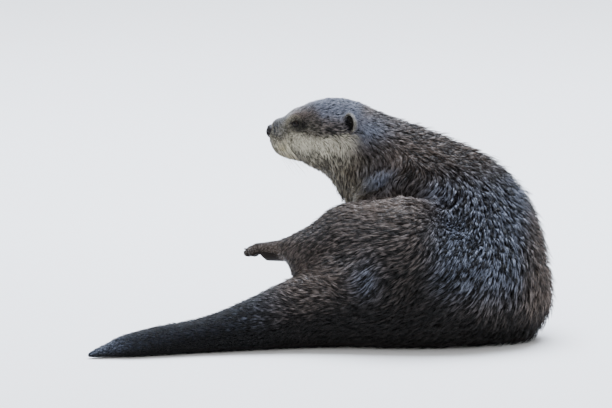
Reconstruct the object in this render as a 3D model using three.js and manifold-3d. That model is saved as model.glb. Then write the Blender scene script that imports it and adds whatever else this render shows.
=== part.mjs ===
// A small-clawed otter at life size. It rests on its right hip with the tail laid out to -X. The trunk turns up
// and round on two straight forelegs, and the head looks back along the tail over the left shoulder.
// Millimetres, +Z up, the floor at z = 0. The origin is on the flat that the rump rests on.
//
// The body is one smooth surface, where field(p) = 0, grown round a spine, four legs and a head. Each node is
// that surface, meshed in its own frame and parted from its neighbours by thin cuts.
import * as THREE from "three";
import { mergeVertices } from "three/addons/utils/BufferGeometryUtils.js";
import Module from "manifold-3d";

const wasm = await Module();
wasm.setup();

const at = (x, y, z) => new THREE.Vector3(x, y, z);
const gap = 0.32; // between touching nodes
const seamBlend = 5; // how softly two separate masses of flesh meet
const ankleBlend = 12;
// How softly a leg grows out of the body: near is the blend at its own root, fading out between two distances.
const rootBlend = { hind: { near: 26, from: 55, to: 95 }, fore: { near: 13, from: 45, to: 80 } };
const headBlend = 16;

// The spine, from the tail's tip to the skull. wide is the half-width, deep the half-height.
const hindSpine = [
  { at: at(-318, -74, 3.4), wide: 4, deep: 3.6 },
  { at: at(-292, -67, 9), wide: 11.5, deep: 9.5 },
  { at: at(-258, -57, 13.5), wide: 16, deep: 14 },
  { at: at(-206, -40, 17), wide: 20, deep: 17.5 },
  { at: at(-158, -24, 24), wide: 27, deep: 25 },
  { at: at(-106, -9, 35), wide: 36, deep: 36 },
  { at: at(-62, -2, 44), wide: 46, deep: 46 },
  { at: at(-14, 0, 50), wide: 54, deep: 54 },
  { at: at(38, 6, 53), wide: 59, deep: 57 },
  { at: at(72, 27, 56), wide: 62, deep: 61 },
  { at: at(73, 52, 77), wide: 62, deep: 62 },
];
const foreSpine = [
  { at: at(72, 27, 56), wide: 62, deep: 61 },
  { at: at(73, 52, 77), wide: 62, deep: 62 },
  { at: at(66, 74, 100), wide: 62, deep: 62 },
  { at: at(46, 91, 122), wide: 61, deep: 61 },
  { at: at(10, 100, 142), wide: 57, deep: 57 },
  { at: at(-24, 103, 158.5), wide: 50, deep: 53 },
  { at: at(-46, 104, 177), wide: 42, deep: 43.5 },
  { at: at(-70, 104, 191), wide: 35, deep: 35.5 },
];
const flank = { at: at(97, 30, 36.5), size: at(43, 44, 38.5) }; // the loose flank that spreads on the floor

// Folds pressed into the flesh along a line that runs just outside it.
const folds = [
  {
    name: "haunch over tail",
    r: 7,
    soft: 6,
    line: [at(-113, -1, 77), at(-98, -19, 79), at(-85, -30, 77), at(-76, -40, 70), at(-60, -53, 49)],
  },
  {
    name: "haunch and back",
    r: 16,
    soft: 14,
    line: [at(-32, -62, 100), at(-20, -64, 78), at(-15, -66, 54), at(-11, -68, 32)],
  },
  { name: "neck and shoulder", r: 6.5, soft: 7, line: [at(-62, 75, 131), at(-37, 50, 156), at(-12, 45, 178)] },
];

// Each leg, from the joint in the body to the ankle or wrist: a ball at each joint.
const legs = {
  hindLeft: [
    { at: at(-6, -4, 98), r: 45 },
    { at: at(-60, 36, 102), r: 32.5 },
    { at: at(-97, 20, 87.5), r: 25.5 },
  ],
  hindRight: [
    { at: at(-4, 24, 42), r: 38 },
    { at: at(22, 66, 30), r: 27 },
    { at: at(-30, 64, 16), r: 14 },
  ],
  foreLeft: [
    { at: at(4, 68, 150), r: 29 },
    { at: at(-36, 83, 98), r: 23 },
    { at: at(-42, 103, 20), r: 12 },
  ],
  foreRight: [
    { at: at(4, 136, 140), r: 29 },
    { at: at(-20, 146, 92), r: 22 },
    { at: at(-34, 146, 20), r: 12 },
  ],
};

// A foot in its own frame: toes is where they point and top is the back of the foot.
const hindFoot = { length: 72, heel: 9, thick: 8, wide: 12, toe: 4.6, toeShare: 0.34 };
const foreFoot = { length: 46, heel: 9, thick: 7.5, wide: 12, toe: 4.2, toeShare: 0.42 };
hindFoot.arch = [0.87, 0.97, 1, 0.95, 0.84]; // each toe's reach, as a share of the foot's length
foreFoot.arch = [0.84, 0.96, 1, 0.96, 0.84];
// The foot that is held up hangs from a fleshy heel.
const raisedFoot = { ...hindFoot, length: 75, heel: 17 };
const feet = {
  hindLeft: { ...raisedFoot, at: at(-99, 17, 92.5), toes: at(-0.88, 0.45, -0.06), top: at(0.05, 0.2, 0.98) },
  hindRight: { ...hindFoot, at: at(-28, 64, 8.5), toes: at(-1, 0.02, 0), top: at(0, 0, 1) },
  foreLeft: { ...foreFoot, at: at(-42, 103, 8.5), toes: at(-0.98, 0.1, 0), top: at(0, 0, 1) },
  foreRight: { ...foreFoot, at: at(-34, 146, 8.5), toes: at(-1, -0.03, 0), top: at(0, 0, 1) },
};

// The head's own frame: +X to the nose, +Y to the left ear, +Z up. yaw turns the nose away from the tail's side.
const headAt = at(-80, 104, 196);
const headYaw = THREE.MathUtils.degToRad(4);
const headFrame = new THREE.Matrix4()
  .makeBasis(
    at(-Math.cos(headYaw), Math.sin(headYaw), 0),
    at(-Math.sin(headYaw), -Math.cos(headYaw), 0),
    at(0, 0, 1),
  )
  .setPosition(headAt);
const toHead = headFrame.clone().invert();
const skull = [
  { at: at(-5, 0, 3.2), size: at(39, 36, 28.6) }, // braincase
  { at: at(21, 0, 6), size: at(25.5, 25, 20) }, // forehead
  { at: at(34, 0, -3), size: at(26, 19, 17.5) }, // muzzle
];
const cheek = { at: at(5, 20, -12), size: at(27, 17, 18) };
const lipPad = { at: at(46, 8.5, -8.5), size: at(13, 10.5, 9.5) };
const jaw = { at: at(30, 0, -17.5), size: at(24, 13, 10) };
const browRidge = { at: at(32, 14, 17), size: at(9, 6, 5) };
const nose = { at: at(59, 0, 1.5), size: at(5.6, 8.6, 6.6) };
const socket = { at: at(34, 25.5, 13), size: at(9, 7, 6.6) };
const eye = { at: at(31.5, 18, 12.6), r: 5.6 };
// yaw turns the cup's mouth outwards, and dip is the middle of its hollow.
const ear = {
  at: at(-23, 33.5, 16.5),
  size: at(4, 8.5, 10),
  bowl: at(3.6, 6.2, 7.4),
  dip: at(2.4, -0.8, 0.2),
  yaw: 0.87,
};

// ---- distances ----

const mix = THREE.MathUtils.lerp;
// The smaller of two distances, rounded over a width of k where they meet.
function blend(a, b, k) {
  const h = Math.max(k - Math.abs(a - b), 0) / k;
  return Math.min(a, b) - (h * h * k) / 4;
}

// Joints as a smooth run of short stretches, each with its own half-width and half-height.
function spineOf(joints, steps = 6) {
  const line = new THREE.CatmullRomCurve3(joints.map((j) => j.at), false, "catmullrom", 0.5);
  const sizes = new THREE.CatmullRomCurve3(joints.map((j) => at(j.wide, j.deep, 0)), false, "catmullrom", 0.5);
  const count = (joints.length - 1) * steps;
  return Array.from({ length: count + 1 }, (_, i) => {
    const size = sizes.getPoint(i / count);
    return { at: line.getPoint(i / count), wide: size.x, deep: size.y };
  });
}

const along = new THREE.Vector3();
const off = new THREE.Vector3();
// How far along a to b the point p is, from 0 to 1. Leaves p's offset from that place in off.
function share(p, a, b) {
  along.subVectors(b, a);
  const t = THREE.MathUtils.clamp(off.subVectors(p, a).dot(along) / along.lengthSq(), 0, 1);
  off.addScaledVector(along, -t);
  return t;
}

function tubeDistance(p, run) {
  let least = Infinity;
  for (let i = 1; i < run.length; i++) {
    const [a, b] = [run[i - 1], run[i]];
    const t = share(p, a.at, b.at);
    const wide = mix(a.wide, b.wide, t);
    const deep = mix(a.deep, b.deep, t);
    const reach = Math.hypot(off.x / wide, off.y / wide, off.z / deep);
    least = Math.min(least, (reach - 1) * Math.min(wide, deep));
  }
  return least;
}

function legDistance(p, balls) {
  let d = Infinity;
  for (let i = 1; i < balls.length; i++) {
    const t = share(p, balls[i - 1].at, balls[i].at);
    d = blend(d, off.length() - mix(balls[i - 1].r, balls[i].r, t), ankleBlend);
  }
  return d;
}

function eggDistance(p, egg, mirror = 1) {
  const [x, y, z] = [p.x - egg.at.x, p.y - egg.at.y * mirror, p.z - egg.at.z];
  const { x: a, y: b, z: c } = egg.size;
  const near = Math.hypot(x / a, y / b, z / c);
  const steep = Math.hypot(x / a ** 2, y / b ** 2, z / c ** 2);
  return steep > 0 ? (near * (near - 1)) / steep : -Math.min(a, b, c);
}

// ---- the body's parts as distances ----

function footFrame(foot) {
  const x = foot.toes.clone().normalize();
  const y = foot.top.clone().cross(x).normalize();
  return new THREE.Matrix4().makeBasis(x, y, x.clone().cross(y)).setPosition(foot.at);
}

// Five toes that fan out of the sole, each a taper from root to knuckle and on to its tip.
function toesOf(foot) {
  const palm = foot.length * (1 - foot.toeShare);
  const rise = foot.thick - foot.toe;
  return foot.arch.map((reach, i) => {
    const aside = ((i - 2) / 2) * foot.wide;
    return {
      root: at(palm * 0.8, aside * 0.75, 0),
      knuckle: at(mix(palm, foot.length * reach, 0.35), aside * 1.1, rise * 0.2),
      tip: at(foot.length * reach - foot.toe, aside * 1.25, -rise * 0.8),
    };
  });
}

function footDistance(p, { foot, inverse, toes }) {
  const q = p.clone().applyMatrix4(inverse);
  const t = share(q, at(0, 0, 0), at(foot.length * (1 - foot.toeShare) * 0.85, 0, 0));
  const wide = mix(foot.heel, foot.wide * 1.05, t);
  const thick = mix(foot.heel, foot.thick, t);
  let d = (Math.hypot(off.x / wide, off.y / wide, off.z / thick) - 1) * thick;
  for (const toe of toes) {
    const bend = share(q, toe.root, toe.knuckle);
    d = blend(d, off.length() - mix(foot.thick * 0.75, foot.toe, bend), 4);
    share(q, toe.knuckle, toe.tip);
    d = blend(d, off.length() - foot.toe, 2);
  }
  return d;
}

function foldDistance(p, { r, line }) {
  let d = Infinity;
  for (let i = 1; i < line.length; i++) {
    share(p, line[i - 1], line[i]);
    d = Math.min(d, off.length() - r);
  }
  return d;
}

function headDistance(p) {
  const q = p.clone().applyMatrix4(toHead);
  let d = Infinity;
  for (const egg of skull) d = blend(d, eggDistance(q, egg), 14);
  for (const side of [1, -1]) {
    d = blend(d, eggDistance(q, cheek, side), 14);
    d = blend(d, eggDistance(q, lipPad, side), 7);
    d = blend(d, eggDistance(q, browRidge, side), 7);
  }
  d = blend(d, eggDistance(q, jaw), 9);
  for (const side of [1, -1]) d = -blend(-d, eggDistance(q, socket, side), 4);
  return blend(d, eggDistance(q, nose), 4);
}

const hindRun = spineOf(hindSpine);
const foreRun = spineOf(foreSpine);
const footSets = Object.fromEntries(
  Object.entries(feet).map(([name, foot]) => {
    const frame = footFrame(foot);
    return [name, { foot, frame, inverse: frame.clone().invert(), toes: toesOf(foot) }];
  }),
);

function withLeg(body, p, name, { near, from, to }) {
  const leg = blend(legDistance(p, legs[name]), footDistance(p, footSets[name]), ankleBlend);
  const away = THREE.MathUtils.smoothstep(p.distanceTo(legs[name][0].at), from, to);
  return blend(body, leg, mix(near, 2, away));
}

function field(p) {
  let hind = blend(tubeDistance(p, hindRun), eggDistance(p, flank), 18);
  hind = withLeg(hind, p, "hindLeft", rootBlend.hind);
  hind = withLeg(hind, p, "hindRight", rootBlend.hind);
  let fore = tubeDistance(p, foreRun);
  fore = withLeg(fore, p, "foreLeft", rootBlend.fore);
  fore = withLeg(fore, p, "foreRight", rootBlend.fore);
  fore = blend(fore, headDistance(p), headBlend);
  let d = blend(hind, fore, seamBlend);
  for (const fold of folds) d = -blend(-d, foldDistance(p, fold), fold.soft);
  return d;
}

// ---- meshing ----

// An even number of steps from one end to the other, their size going evenly from first to last.
function ruler(from, to, first, last = first) {
  const count = 2 * Math.max(Math.ceil((to - from) / (first + last)), 2);
  return Array.from({ length: count + 1 }, (_, i) => {
    const t = i / count;
    return from + ((to - from) * (t * first + (t * t * (last - first)) / 2)) / ((first + last) / 2);
  });
}

// A grid cell's corners are numbered by the bits x = 1, y = 2 and z = 4. Its edges are pairs of corners.
const bits = [1, 2, 4];
const cellFaces = [[0, 2, 6, 4], [1, 3, 7, 5], [0, 1, 5, 4], [2, 3, 7, 6], [0, 1, 3, 2], [4, 5, 7, 6]];
const edgeKey = (m, n) => 8 * Math.min(m, n) + Math.max(m, n);

// The separate sheets of surface in one cell, each as the loop of cell edges that it crosses.
function sheetsOf(inside) {
  const links = new Map();
  const link = (a, b) => {
    links.set(a, [...(links.get(a) ?? []), b]);
    links.set(b, [...(links.get(b) ?? []), a]);
  };
  for (const face of cellFaces) {
    const edges = face.map((corner, s) => edgeKey(corner, face[(s + 1) % 4]));
    const crossed = edges.filter((_, s) => inside[face[s]] !== inside[face[(s + 1) % 4]]);
    if (crossed.length === 2) link(...crossed);
    if (crossed.length === 4) face.forEach((corner, s) => inside[corner] && link(edges[(s + 3) % 4], edges[s]));
  }
  const sheets = [];
  for (const start of links.keys()) {
    if (sheets.some((sheet) => sheet.includes(start))) continue;
    const sheet = [start];
    for (const edge of sheet) sheet.push(...links.get(edge).filter((next) => !sheet.includes(next)));
    sheets.push([...new Set(sheet)]);
  }
  return sheets;
}

// The closed surface distance(p) = 0 on a grid in a frame: a vertex for each sheet of it in each cell.
function surfaceOf(distance, frame, lines) {
  const [nx, ny, nz] = lines.map((line) => line.length);
  const corner = (i, j, k, n = 0) => at(lines[0][i + (n & 1)], lines[1][j + ((n >> 1) & 1)], lines[2][k + (n >> 2)]);
  const steps = [1, nx, nx * ny];
  const index = (i, j, k) => i + nx * (j + ny * k);
  const values = new Float32Array(nx * ny * nz);
  for (let k = 0; k < nz; k++)
    for (let j = 0; j < ny; j++)
      for (let i = 0; i < nx; i++) {
        const rim = i * j * k === 0 || i === nx - 1 || j === ny - 1 || k === nz - 1;
        values[index(i, j, k)] = rim ? 1 : distance(corner(i, j, k).applyMatrix4(frame));
      }
  const points = [];
  const pointAt = new Map(); // cell and edge to vertex
  for (let k = 0; k < nz - 1; k++)
    for (let j = 0; j < ny - 1; j++)
      for (let i = 0; i < nx - 1; i++) {
        const cell = index(i, j, k);
        const v = [0, 1, 2, 3, 4, 5, 6, 7].map((n) => {
          return values[cell + bits.reduce((sum, bit, s) => sum + (n & bit ? steps[s] : 0), 0)];
        });
        for (const sheet of sheetsOf(v.map((value) => value < 0))) {
          const middle = at(0, 0, 0);
          for (const edge of sheet) {
            const [m, n] = [edge >> 3, edge & 7];
            const crossing = corner(i, j, k, m).lerp(corner(i, j, k, n), v[m] / (v[m] - v[n]));
            middle.addScaledVector(crossing, 1 / sheet.length);
            pointAt.set(64 * cell + edge, points.length);
          }
          middle.applyMatrix4(frame);
          const inner = i && j && k && i < nx - 2 && j < ny - 2 && k < nz - 2;
          points.push(inner ? ontoSurface(distance, middle, lines[0][i + 1] - lines[0][i]) : middle);
        }
      }
  const faces = [];
  for (let k = 0; k < nz - 1; k++)
    for (let j = 0; j < ny - 1; j++)
      for (let i = 0; i < nx - 1; i++)
        for (let axis = 0; axis < 3; axis++) {
          if ([i, j, k].some((n, s) => s !== axis && n === 0)) continue;
          const here = index(i, j, k);
          const inside = values[here] < 0;
          if (inside === values[here + steps[axis]] < 0) continue;
          const [u, w] = [(axis + 1) % 3, (axis + 2) % 3];
          const ring = [[u, w], [w], [], [u]].map((back) => {
            const cell = back.reduce((at, s) => at - steps[s], here);
            const low = back.reduce((sum, s) => sum + bits[s], 0);
            return pointAt.get(64 * cell + edgeKey(low, low + bits[axis]));
          });
          const [a, b, c, d] = inside ? ring : ring.reverse();
          const short = points[a].distanceTo(points[c]) < points[b].distanceTo(points[d]);
          faces.push(...(short ? [a, b, c, a, c, d] : [a, b, d, b, c, d]));
        }
  return new THREE.BufferGeometry().setFromPoints(points).setIndex(faces);
}

function ontoSurface(distance, start, reach) {
  const step = 0.05;
  const p = start.clone();
  for (let pass = 0; pass < 3; pass++) {
    const d = distance(p);
    const slope = at(
      distance(p.clone().add(at(step, 0, 0))) - d,
      distance(p.clone().add(at(0, step, 0))) - d,
      distance(p.clone().add(at(0, 0, step))) - d,
    ).divideScalar(step);
    p.addScaledVector(slope, -d / Math.max(slope.lengthSq(), 0.25));
  }
  return p.distanceTo(start) < reach ? p : start;
}

function solidOf(geometry) {
  const bare = geometry.clone();
  for (const name of ["normal", "uv"]) bare.deleteAttribute(name);
  const { attributes, index } = mergeVertices(bare, 1e-4);
  const triVerts = new Uint32Array(index.array);
  return new wasm.Manifold(new wasm.Mesh({ numProp: 3, vertProperties: attributes.position.array, triVerts }));
}

// A solid as a geometry, with the hair-thin triangles that a cut leaves closed up.
const grain = 0.02;
function geometryOf(solid) {
  const mesh = solid.getMesh();
  const places = mesh.vertProperties.map((v) => Math.round(v / grain) * grain);
  const rough = new THREE.BufferGeometry()
    .setAttribute("position", new THREE.BufferAttribute(places, 3))
    .setIndex(new THREE.BufferAttribute(mesh.triVerts.slice(), 1));
  const geometry = mergeVertices(rough, grain / 10);
  const faces = new Map();
  const corners = geometry.index.array;
  for (let n = 0; n < corners.length; n += 3) {
    const face = [...corners.slice(n, n + 3)];
    const key = [...face].sort((a, b) => a - b).join();
    if (new Set(face).size < 3) continue;
    if (!faces.delete(key)) faces.set(key, face);
  }
  return geometry.setIndex([...faces.values()].flat());
}

function largest(solid) {
  return solid.decompose().reduce((a, b) => (b.volume() > a.volume() ? b : a));
}

// ---- regions: the space that each node takes of the body, grown by a gap where it cuts a neighbour ----

// A frame with +X from a to b.
function lineFrame(a, b) {
  const x = b.clone().sub(a).normalize();
  const y = at(0, 0, 1).cross(x);
  if (y.length() < 0.1) y.set(0, 1, 0);
  y.normalize();
  return new THREE.Matrix4().makeBasis(x, y, x.clone().cross(y)).setPosition(a);
}
const capsule = (a, b, r) => (grow) =>
  new THREE.CapsuleGeometry(r + grow, a.distanceTo(b), 2, 10)
    .rotateZ(-Math.PI / 2)
    .translate(a.distanceTo(b) / 2, 0, 0)
    .applyMatrix4(lineFrame(a, b));
const barrel = (a, b, ra, rb) => (grow) =>
  new THREE.CylinderGeometry(rb + grow, ra + grow, a.distanceTo(b) + 2 * grow, 14)
    .rotateZ(-Math.PI / 2)
    .translate(a.distanceTo(b) / 2, 0, 0)
    .applyMatrix4(lineFrame(a, b));
const block = (frame, min, max) => (grow) =>
  new THREE.BoxGeometry(max.x - min.x + 2 * grow, max.y - min.y + 2 * grow, max.z - min.z + 2 * grow)
    .translate((max.x + min.x) / 2, (max.y + min.y) / 2, (max.z + min.z) / 2)
    .applyMatrix4(frame);
const egg = (e, frame) => (grow) =>
  new THREE.SphereGeometry(1, 12, 8)
    .scale(e.size.x + grow, e.size.y + grow, e.size.z + grow)
    .translate(...e.at.toArray())
    .applyMatrix4(frame);

const footRegion = (name, heel) => {
  const { foot, frame } = footSets[name];
  const side = foot.wide * 1.7;
  const region = block(frame, at(heel, -side, -15), at(foot.length + 12, side, heel < 0 ? 10 : 24));
  return { region, frame, cell: [9.5, 5.2, 5.3] };
};
// A leg's upper part is cut from the trunk by a capsule, and its lower part by a plane across the joint.
const upperLeg = (name, radius, cell) => {
  const [a, b] = legs[name].map((joint) => joint.at);
  return { region: capsule(a, b, radius), frame: lineFrame(a, b), cell: [cell * 1.2, cell, cell] };
};
const lowerLeg = (name, cell, below, side, above = 40) => {
  const [, a, b] = legs[name].map((joint) => joint.at);
  const frame = lineFrame(a, b);
  const region = block(frame, at(0, -side, -below), at(a.distanceTo(b) + 24, side, above));
  return { region, frame, cell: [cell * 1.3, cell, cell] };
};
const headCut = headFrame.clone().multiply(new THREE.Matrix4().makeRotationY(-0.33));
const world = new THREE.Matrix4();
const tailEnds = [at(-86, -6, 38), at(-330, -79, 2)];

// In order: where two regions meet, the node named first takes the space.
const nodes = [
  {
    name: "nose_pad",
    region: egg({ at: nose.at.clone().add(at(2.6, 0, 0.6)), size: nose.size.clone().addScalar(0.6) }, headFrame),
    frame: headFrame,
    cell: [4, 4.2, 4.2],
    hue: "nose",
  },
  {
    name: "head",
    region: block(headCut, at(-26, -60, -56), at(90, 60, 60)),
    frame: headFrame,
    cell: [[11, 6], 8.6, 7.8],
    hue: "crown",
  },
  { name: "hind_foot_left", ...footRegion("hindLeft", 8), hue: "foot" },
  { name: "forepaw_left", ...footRegion("foreLeft", -16), hue: "foot" },
  { name: "forepaw_right", ...footRegion("foreRight", -16), hue: "foot" },
  { name: "hind_foot_right", ...footRegion("hindRight", 8), hue: "foot" },
  { name: "shank_left", ...lowerLeg("hindLeft", 15, 27, 33), hue: "leg" },
  { name: "shank_right", ...lowerLeg("hindRight", 15, 40, 28), hue: "leg" },
  { name: "thigh_left", ...upperLeg("hindLeft", 54, 19), hue: "leg" },
  { name: "forearm_left", ...lowerLeg("foreLeft", 12, 26, 26, 26), hue: "leg" },
  { name: "forearm_right", ...lowerLeg("foreRight", 12, 26, 26, 26), hue: "leg" },
  { name: "upper_arm_left", ...upperLeg("foreLeft", 36, 17), hue: "leg" },
  { name: "upper_arm_right", ...upperLeg("foreRight", 36, 17), hue: "leg" },
  { name: "thigh_right", ...upperLeg("hindRight", 44, 19), hue: "leg" },
  {
    name: "neck",
    region: barrel(at(-24, 103, 159), at(-80, 104, 200), 66, 62),
    frame: lineFrame(at(-24, 103, 159), at(-80, 104, 200)),
    cell: [14, 15, 15],
    hue: "throat",
  },
  {
    name: "tail",
    region: barrel(...tailEnds, 52, 20),
    frame: lineFrame(...tailEnds),
    cell: [[22, 8], 11.5, 10.5],
    hue: "tail",
  },
  { name: "trunk", region: block(world, at(-95, -70, -20), at(150, 178, 225)), frame: world, cell: [23, 23, 23], hue: "back" },
];

const paints = {
  back: ["#4a4744", 0.55],
  throat: ["#7d7560", 0.6],
  crown: ["#565150", 0.55],
  leg: ["#4b4643", 0.55],
  tail: ["#3b3c41", 0.5],
  foot: ["#5a504b", 0.6],
  nose: ["#1d1a1a", 0.35],
  ear: ["#5b524a", 0.6],
  eye: ["#0d0a09", 0.05],
};
const materials = Object.fromEntries(
  Object.entries(paints).map(([hue, [color, roughness]]) => [
    hue,
    new THREE.MeshStandardMaterial({ color, roughness, metalness: 0, flatShading: true }),
  ]),
);

const otter = new THREE.Group();
const place = (name, solid, hue) => {
  const mesh = new THREE.Mesh(geometryOf(solid), materials[hue]);
  mesh.name = name;
  otter.add(mesh);
};

// The grid for a region: its box in the node's frame, with room all round.
function gridFor(geometry, frame, cell) {
  const local = geometry.clone().applyMatrix4(frame.clone().invert());
  local.computeBoundingBox();
  const { min, max } = local.boundingBox;
  return [0, 1, 2].map((s) => {
    const [first, last] = [cell[s]].flat().concat(cell[s]).slice(0, 2);
    return ruler(min.getComponent(s) - 1.5 * first, max.getComponent(s) + 1.5 * last, first, last);
  });
}

let taken = solidOf(new THREE.BoxGeometry(1200, 1200, 200).translate(0, 0, -100)); // the floor
const sides = { left: 1, right: -1 };

// Eyes sit in sockets that are a gap wider than they are.
for (const [side, mirror] of Object.entries(sides)) {
  const centre = at(eye.at.x, eye.at.y * mirror, eye.at.z).applyMatrix4(headFrame);
  const globe = (r) => solidOf(new THREE.SphereGeometry(r, 10, 7).translate(...centre.toArray()));
  place(`eye_${side}`, globe(eye.r), "eye");
  taken = taken.add(globe(eye.r + gap));
}

for (const { name, region, frame, cell, hue } of nodes) {
  const space = region(0);
  const whole = solidOf(surfaceOf(field, frame, gridFor(space, frame, cell)));
  place(name, largest(whole.intersect(solidOf(space)).subtract(taken)), hue);
  taken = taken.add(solidOf(region(gap)));
}

// Each ear is a shallow cup, open forwards and out, that stands on the head's surface.
for (const [side, mirror] of Object.entries(sides)) {
  const frame = headFrame
    .clone()
    .multiply(new THREE.Matrix4().makeTranslation(ear.at.x, ear.at.y * mirror, ear.at.z))
    .multiply(new THREE.Matrix4().makeRotationZ(ear.yaw * mirror));
  const cup = new THREE.SphereGeometry(1, 10, 7).scale(...ear.size.toArray()).applyMatrix4(frame);
  const hollow = new THREE.SphereGeometry(1, 9, 6)
    .scale(...ear.bowl.toArray())
    .translate(ear.dip.x, ear.dip.y * mirror, ear.dip.z)
    .applyMatrix4(frame);
  const near = surfaceOf((p) => field(p) - gap, headFrame, gridFor(cup, headFrame, [9, 9, 9]));
  place(`ear_${side}`, largest(solidOf(cup).subtract(solidOf(hollow)).subtract(solidOf(near))), "ear");
}

export default otter;
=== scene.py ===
# A small-clawed otter resting on its right hip and looking back over its shoulder.
# One skin with ears and lids lies under a coat of solid tufts; eyes, nose, claws and whiskers are pieces.
import bpy
import bmesh
import math
import numpy as np
from mathutils import Matrix, Vector, kdtree
from mathutils.bvhtree import BVHTree


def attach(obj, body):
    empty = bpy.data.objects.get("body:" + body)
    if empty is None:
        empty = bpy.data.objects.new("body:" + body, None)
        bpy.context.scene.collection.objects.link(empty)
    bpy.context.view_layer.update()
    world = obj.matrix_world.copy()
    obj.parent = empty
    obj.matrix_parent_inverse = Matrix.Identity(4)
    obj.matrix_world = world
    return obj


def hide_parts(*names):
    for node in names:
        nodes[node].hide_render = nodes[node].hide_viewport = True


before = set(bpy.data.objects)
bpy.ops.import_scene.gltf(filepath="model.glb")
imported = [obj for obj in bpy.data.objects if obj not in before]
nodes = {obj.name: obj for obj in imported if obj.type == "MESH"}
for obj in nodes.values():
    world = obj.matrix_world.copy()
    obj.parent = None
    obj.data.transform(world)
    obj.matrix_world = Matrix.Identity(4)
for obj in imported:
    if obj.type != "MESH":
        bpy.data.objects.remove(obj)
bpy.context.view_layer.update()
mm = 0.001
dice = np.random.default_rng(2718)


# Small helpers
def toLinear(hexColour):
    channels = [int(hexColour[i:i + 2], 16) / 255 for i in (1, 3, 5)]
    return [c / 12.92 if c <= 0.04045 else ((c + 0.055) / 1.055) ** 2.4 for c in channels] + [1.0]


def addNode(tree, kind, settings={}, links={}):
    node = tree.nodes.new("ShaderNode" + kind)
    for key, value in settings.items():
        if isinstance(key, int) or key in node.inputs:
            node.inputs[key].default_value = value
        else:
            setattr(node, key, value)
    for key, socket in links.items():
        tree.links.new(socket, node.inputs[key])
    return node


def startMaterial(name, roughness, ior, specular=0.5):
    material = bpy.data.materials.new(name)
    material.use_nodes = True
    shader = material.node_tree.nodes["Principled BSDF"]
    shader.inputs["Roughness"].default_value = roughness
    shader.inputs["IOR"].default_value = ior
    shader.inputs["Specular IOR Level"].default_value = specular
    return material, material.node_tree, shader


def paint(tree, shader, colour):
    tree.links.new(colour, shader.inputs["Base Color"])


def mixColours(tree, share, first, second):
    # first and second are hex strings or colour sockets, share a number or a socket
    node = addNode(tree, "Mix", {"data_type": "RGBA"})
    for index, value in ((0, share), (6, first), (7, second)):
        if isinstance(value, str):
            node.inputs[index].default_value = toLinear(value)
        elif isinstance(value, (int, float)):
            node.inputs[index].default_value = value
        else:
            tree.links.new(value, node.inputs[index])
    return node.outputs[2]


def readMask(tree, name):
    return addNode(tree, "Attribute", {"attribute_name": name}).outputs["Fac"]


def calc(tree, operation, first, second):
    node = addNode(tree, "Math", {"operation": operation, "use_clamp": True})
    for index, value in ((0, first), (1, second)):
        if isinstance(value, (int, float)):
            node.inputs[index].default_value = value
        else:
            tree.links.new(value, node.inputs[index])
    return node.outputs[0]


def ramp(tree, value, start, end, low=0.0, high=1.0):
    settings = {"interpolation_type": "SMOOTHSTEP", 1: start, 2: end, 3: low, 4: high}
    return addNode(tree, "MapRange", settings, {0: value}).outputs[0]


def addBump(tree, shader, height, distance, strength):
    bump = addNode(tree, "Bump", {"Distance": distance, "Strength": strength}, {"Height": height})
    tree.links.new(bump.outputs[0], shader.inputs["Normal"])


def grainNoise(tree, grainMm, detail=3.0):
    # one noise cell is about half a grain's period, so scale is 0.5 / size in metres
    place = addNode(tree, "TexCoord").outputs["Object"]
    settings = {"Scale": 0.5 / (grainMm * mm), "Detail": detail}
    return addNode(tree, "TexNoise", settings, {"Vector": place}).outputs[0]


def smoothStep(value, start, end):
    t = np.clip((value - start) / (end - start), 0, 1)
    return t * t * (3 - 2 * t)


def unit(vectors):
    return vectors / np.maximum(np.linalg.norm(vectors, axis=-1, keepdims=True), 1e-12)


def readPlaces(mesh):
    flat = np.empty(len(mesh.vertices) * 3)
    mesh.vertices.foreach_get("co", flat)
    return flat.reshape(-1, 3)


def readNormals(mesh):
    flat = np.empty(len(mesh.vertices) * 3)
    mesh.vertex_normals.foreach_get("vector", flat)
    return flat.reshape(-1, 3)


def writePlaces(mesh, places):
    mesh.vertices.foreach_set("co", places.astype(np.float32).ravel())
    mesh.update()


def writeMask(mesh, name, values):
    mask = mesh.attributes.get(name) or mesh.attributes.new(name, "FLOAT", "POINT")
    mask.data.foreach_set("value", values.astype(np.float32))


def placeObject(name, data):
    item = bpy.data.objects.new(name, data)
    bpy.context.scene.collection.objects.link(item)
    return item


def meshFrom(shell, name):
    mesh = bpy.data.meshes.new(name)
    shell.to_mesh(mesh)
    shell.free()
    return mesh


def finishedMesh(item):
    return bpy.data.meshes.new_from_object(item.evaluated_get(bpy.context.evaluated_depsgraph_get()))


def openMesh(mesh):
    surface = bmesh.new()
    surface.from_mesh(mesh)
    surface.verts.ensure_lookup_table()
    return surface


def closeMesh(surface, mesh):
    surface.to_mesh(mesh)
    surface.free()
    mesh.update()


def soften(surface, corners):
    allAxes = {"use_axis_x": True, "use_axis_y": True, "use_axis_z": True}
    bmesh.ops.smooth_vert(surface, verts=corners, factor=0.5, **allAxes)


def newPiece(name, mesh, material, slot, replaced=()):
    if isinstance(mesh, bmesh.types.BMesh):
        mesh = meshFrom(mesh, name)
    piece = placeObject(name, mesh)
    mesh.materials.clear()
    mesh.materials.append(material)
    mesh.shade_smooth()
    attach(piece, "root")
    if replaced:
        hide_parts(*replaced)
    return piece


def faceOutwards(shell):
    shell.normal_update()       # the corners were moved since the faces were made
    bmesh.ops.recalc_face_normals(shell, faces=shell.faces)


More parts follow.
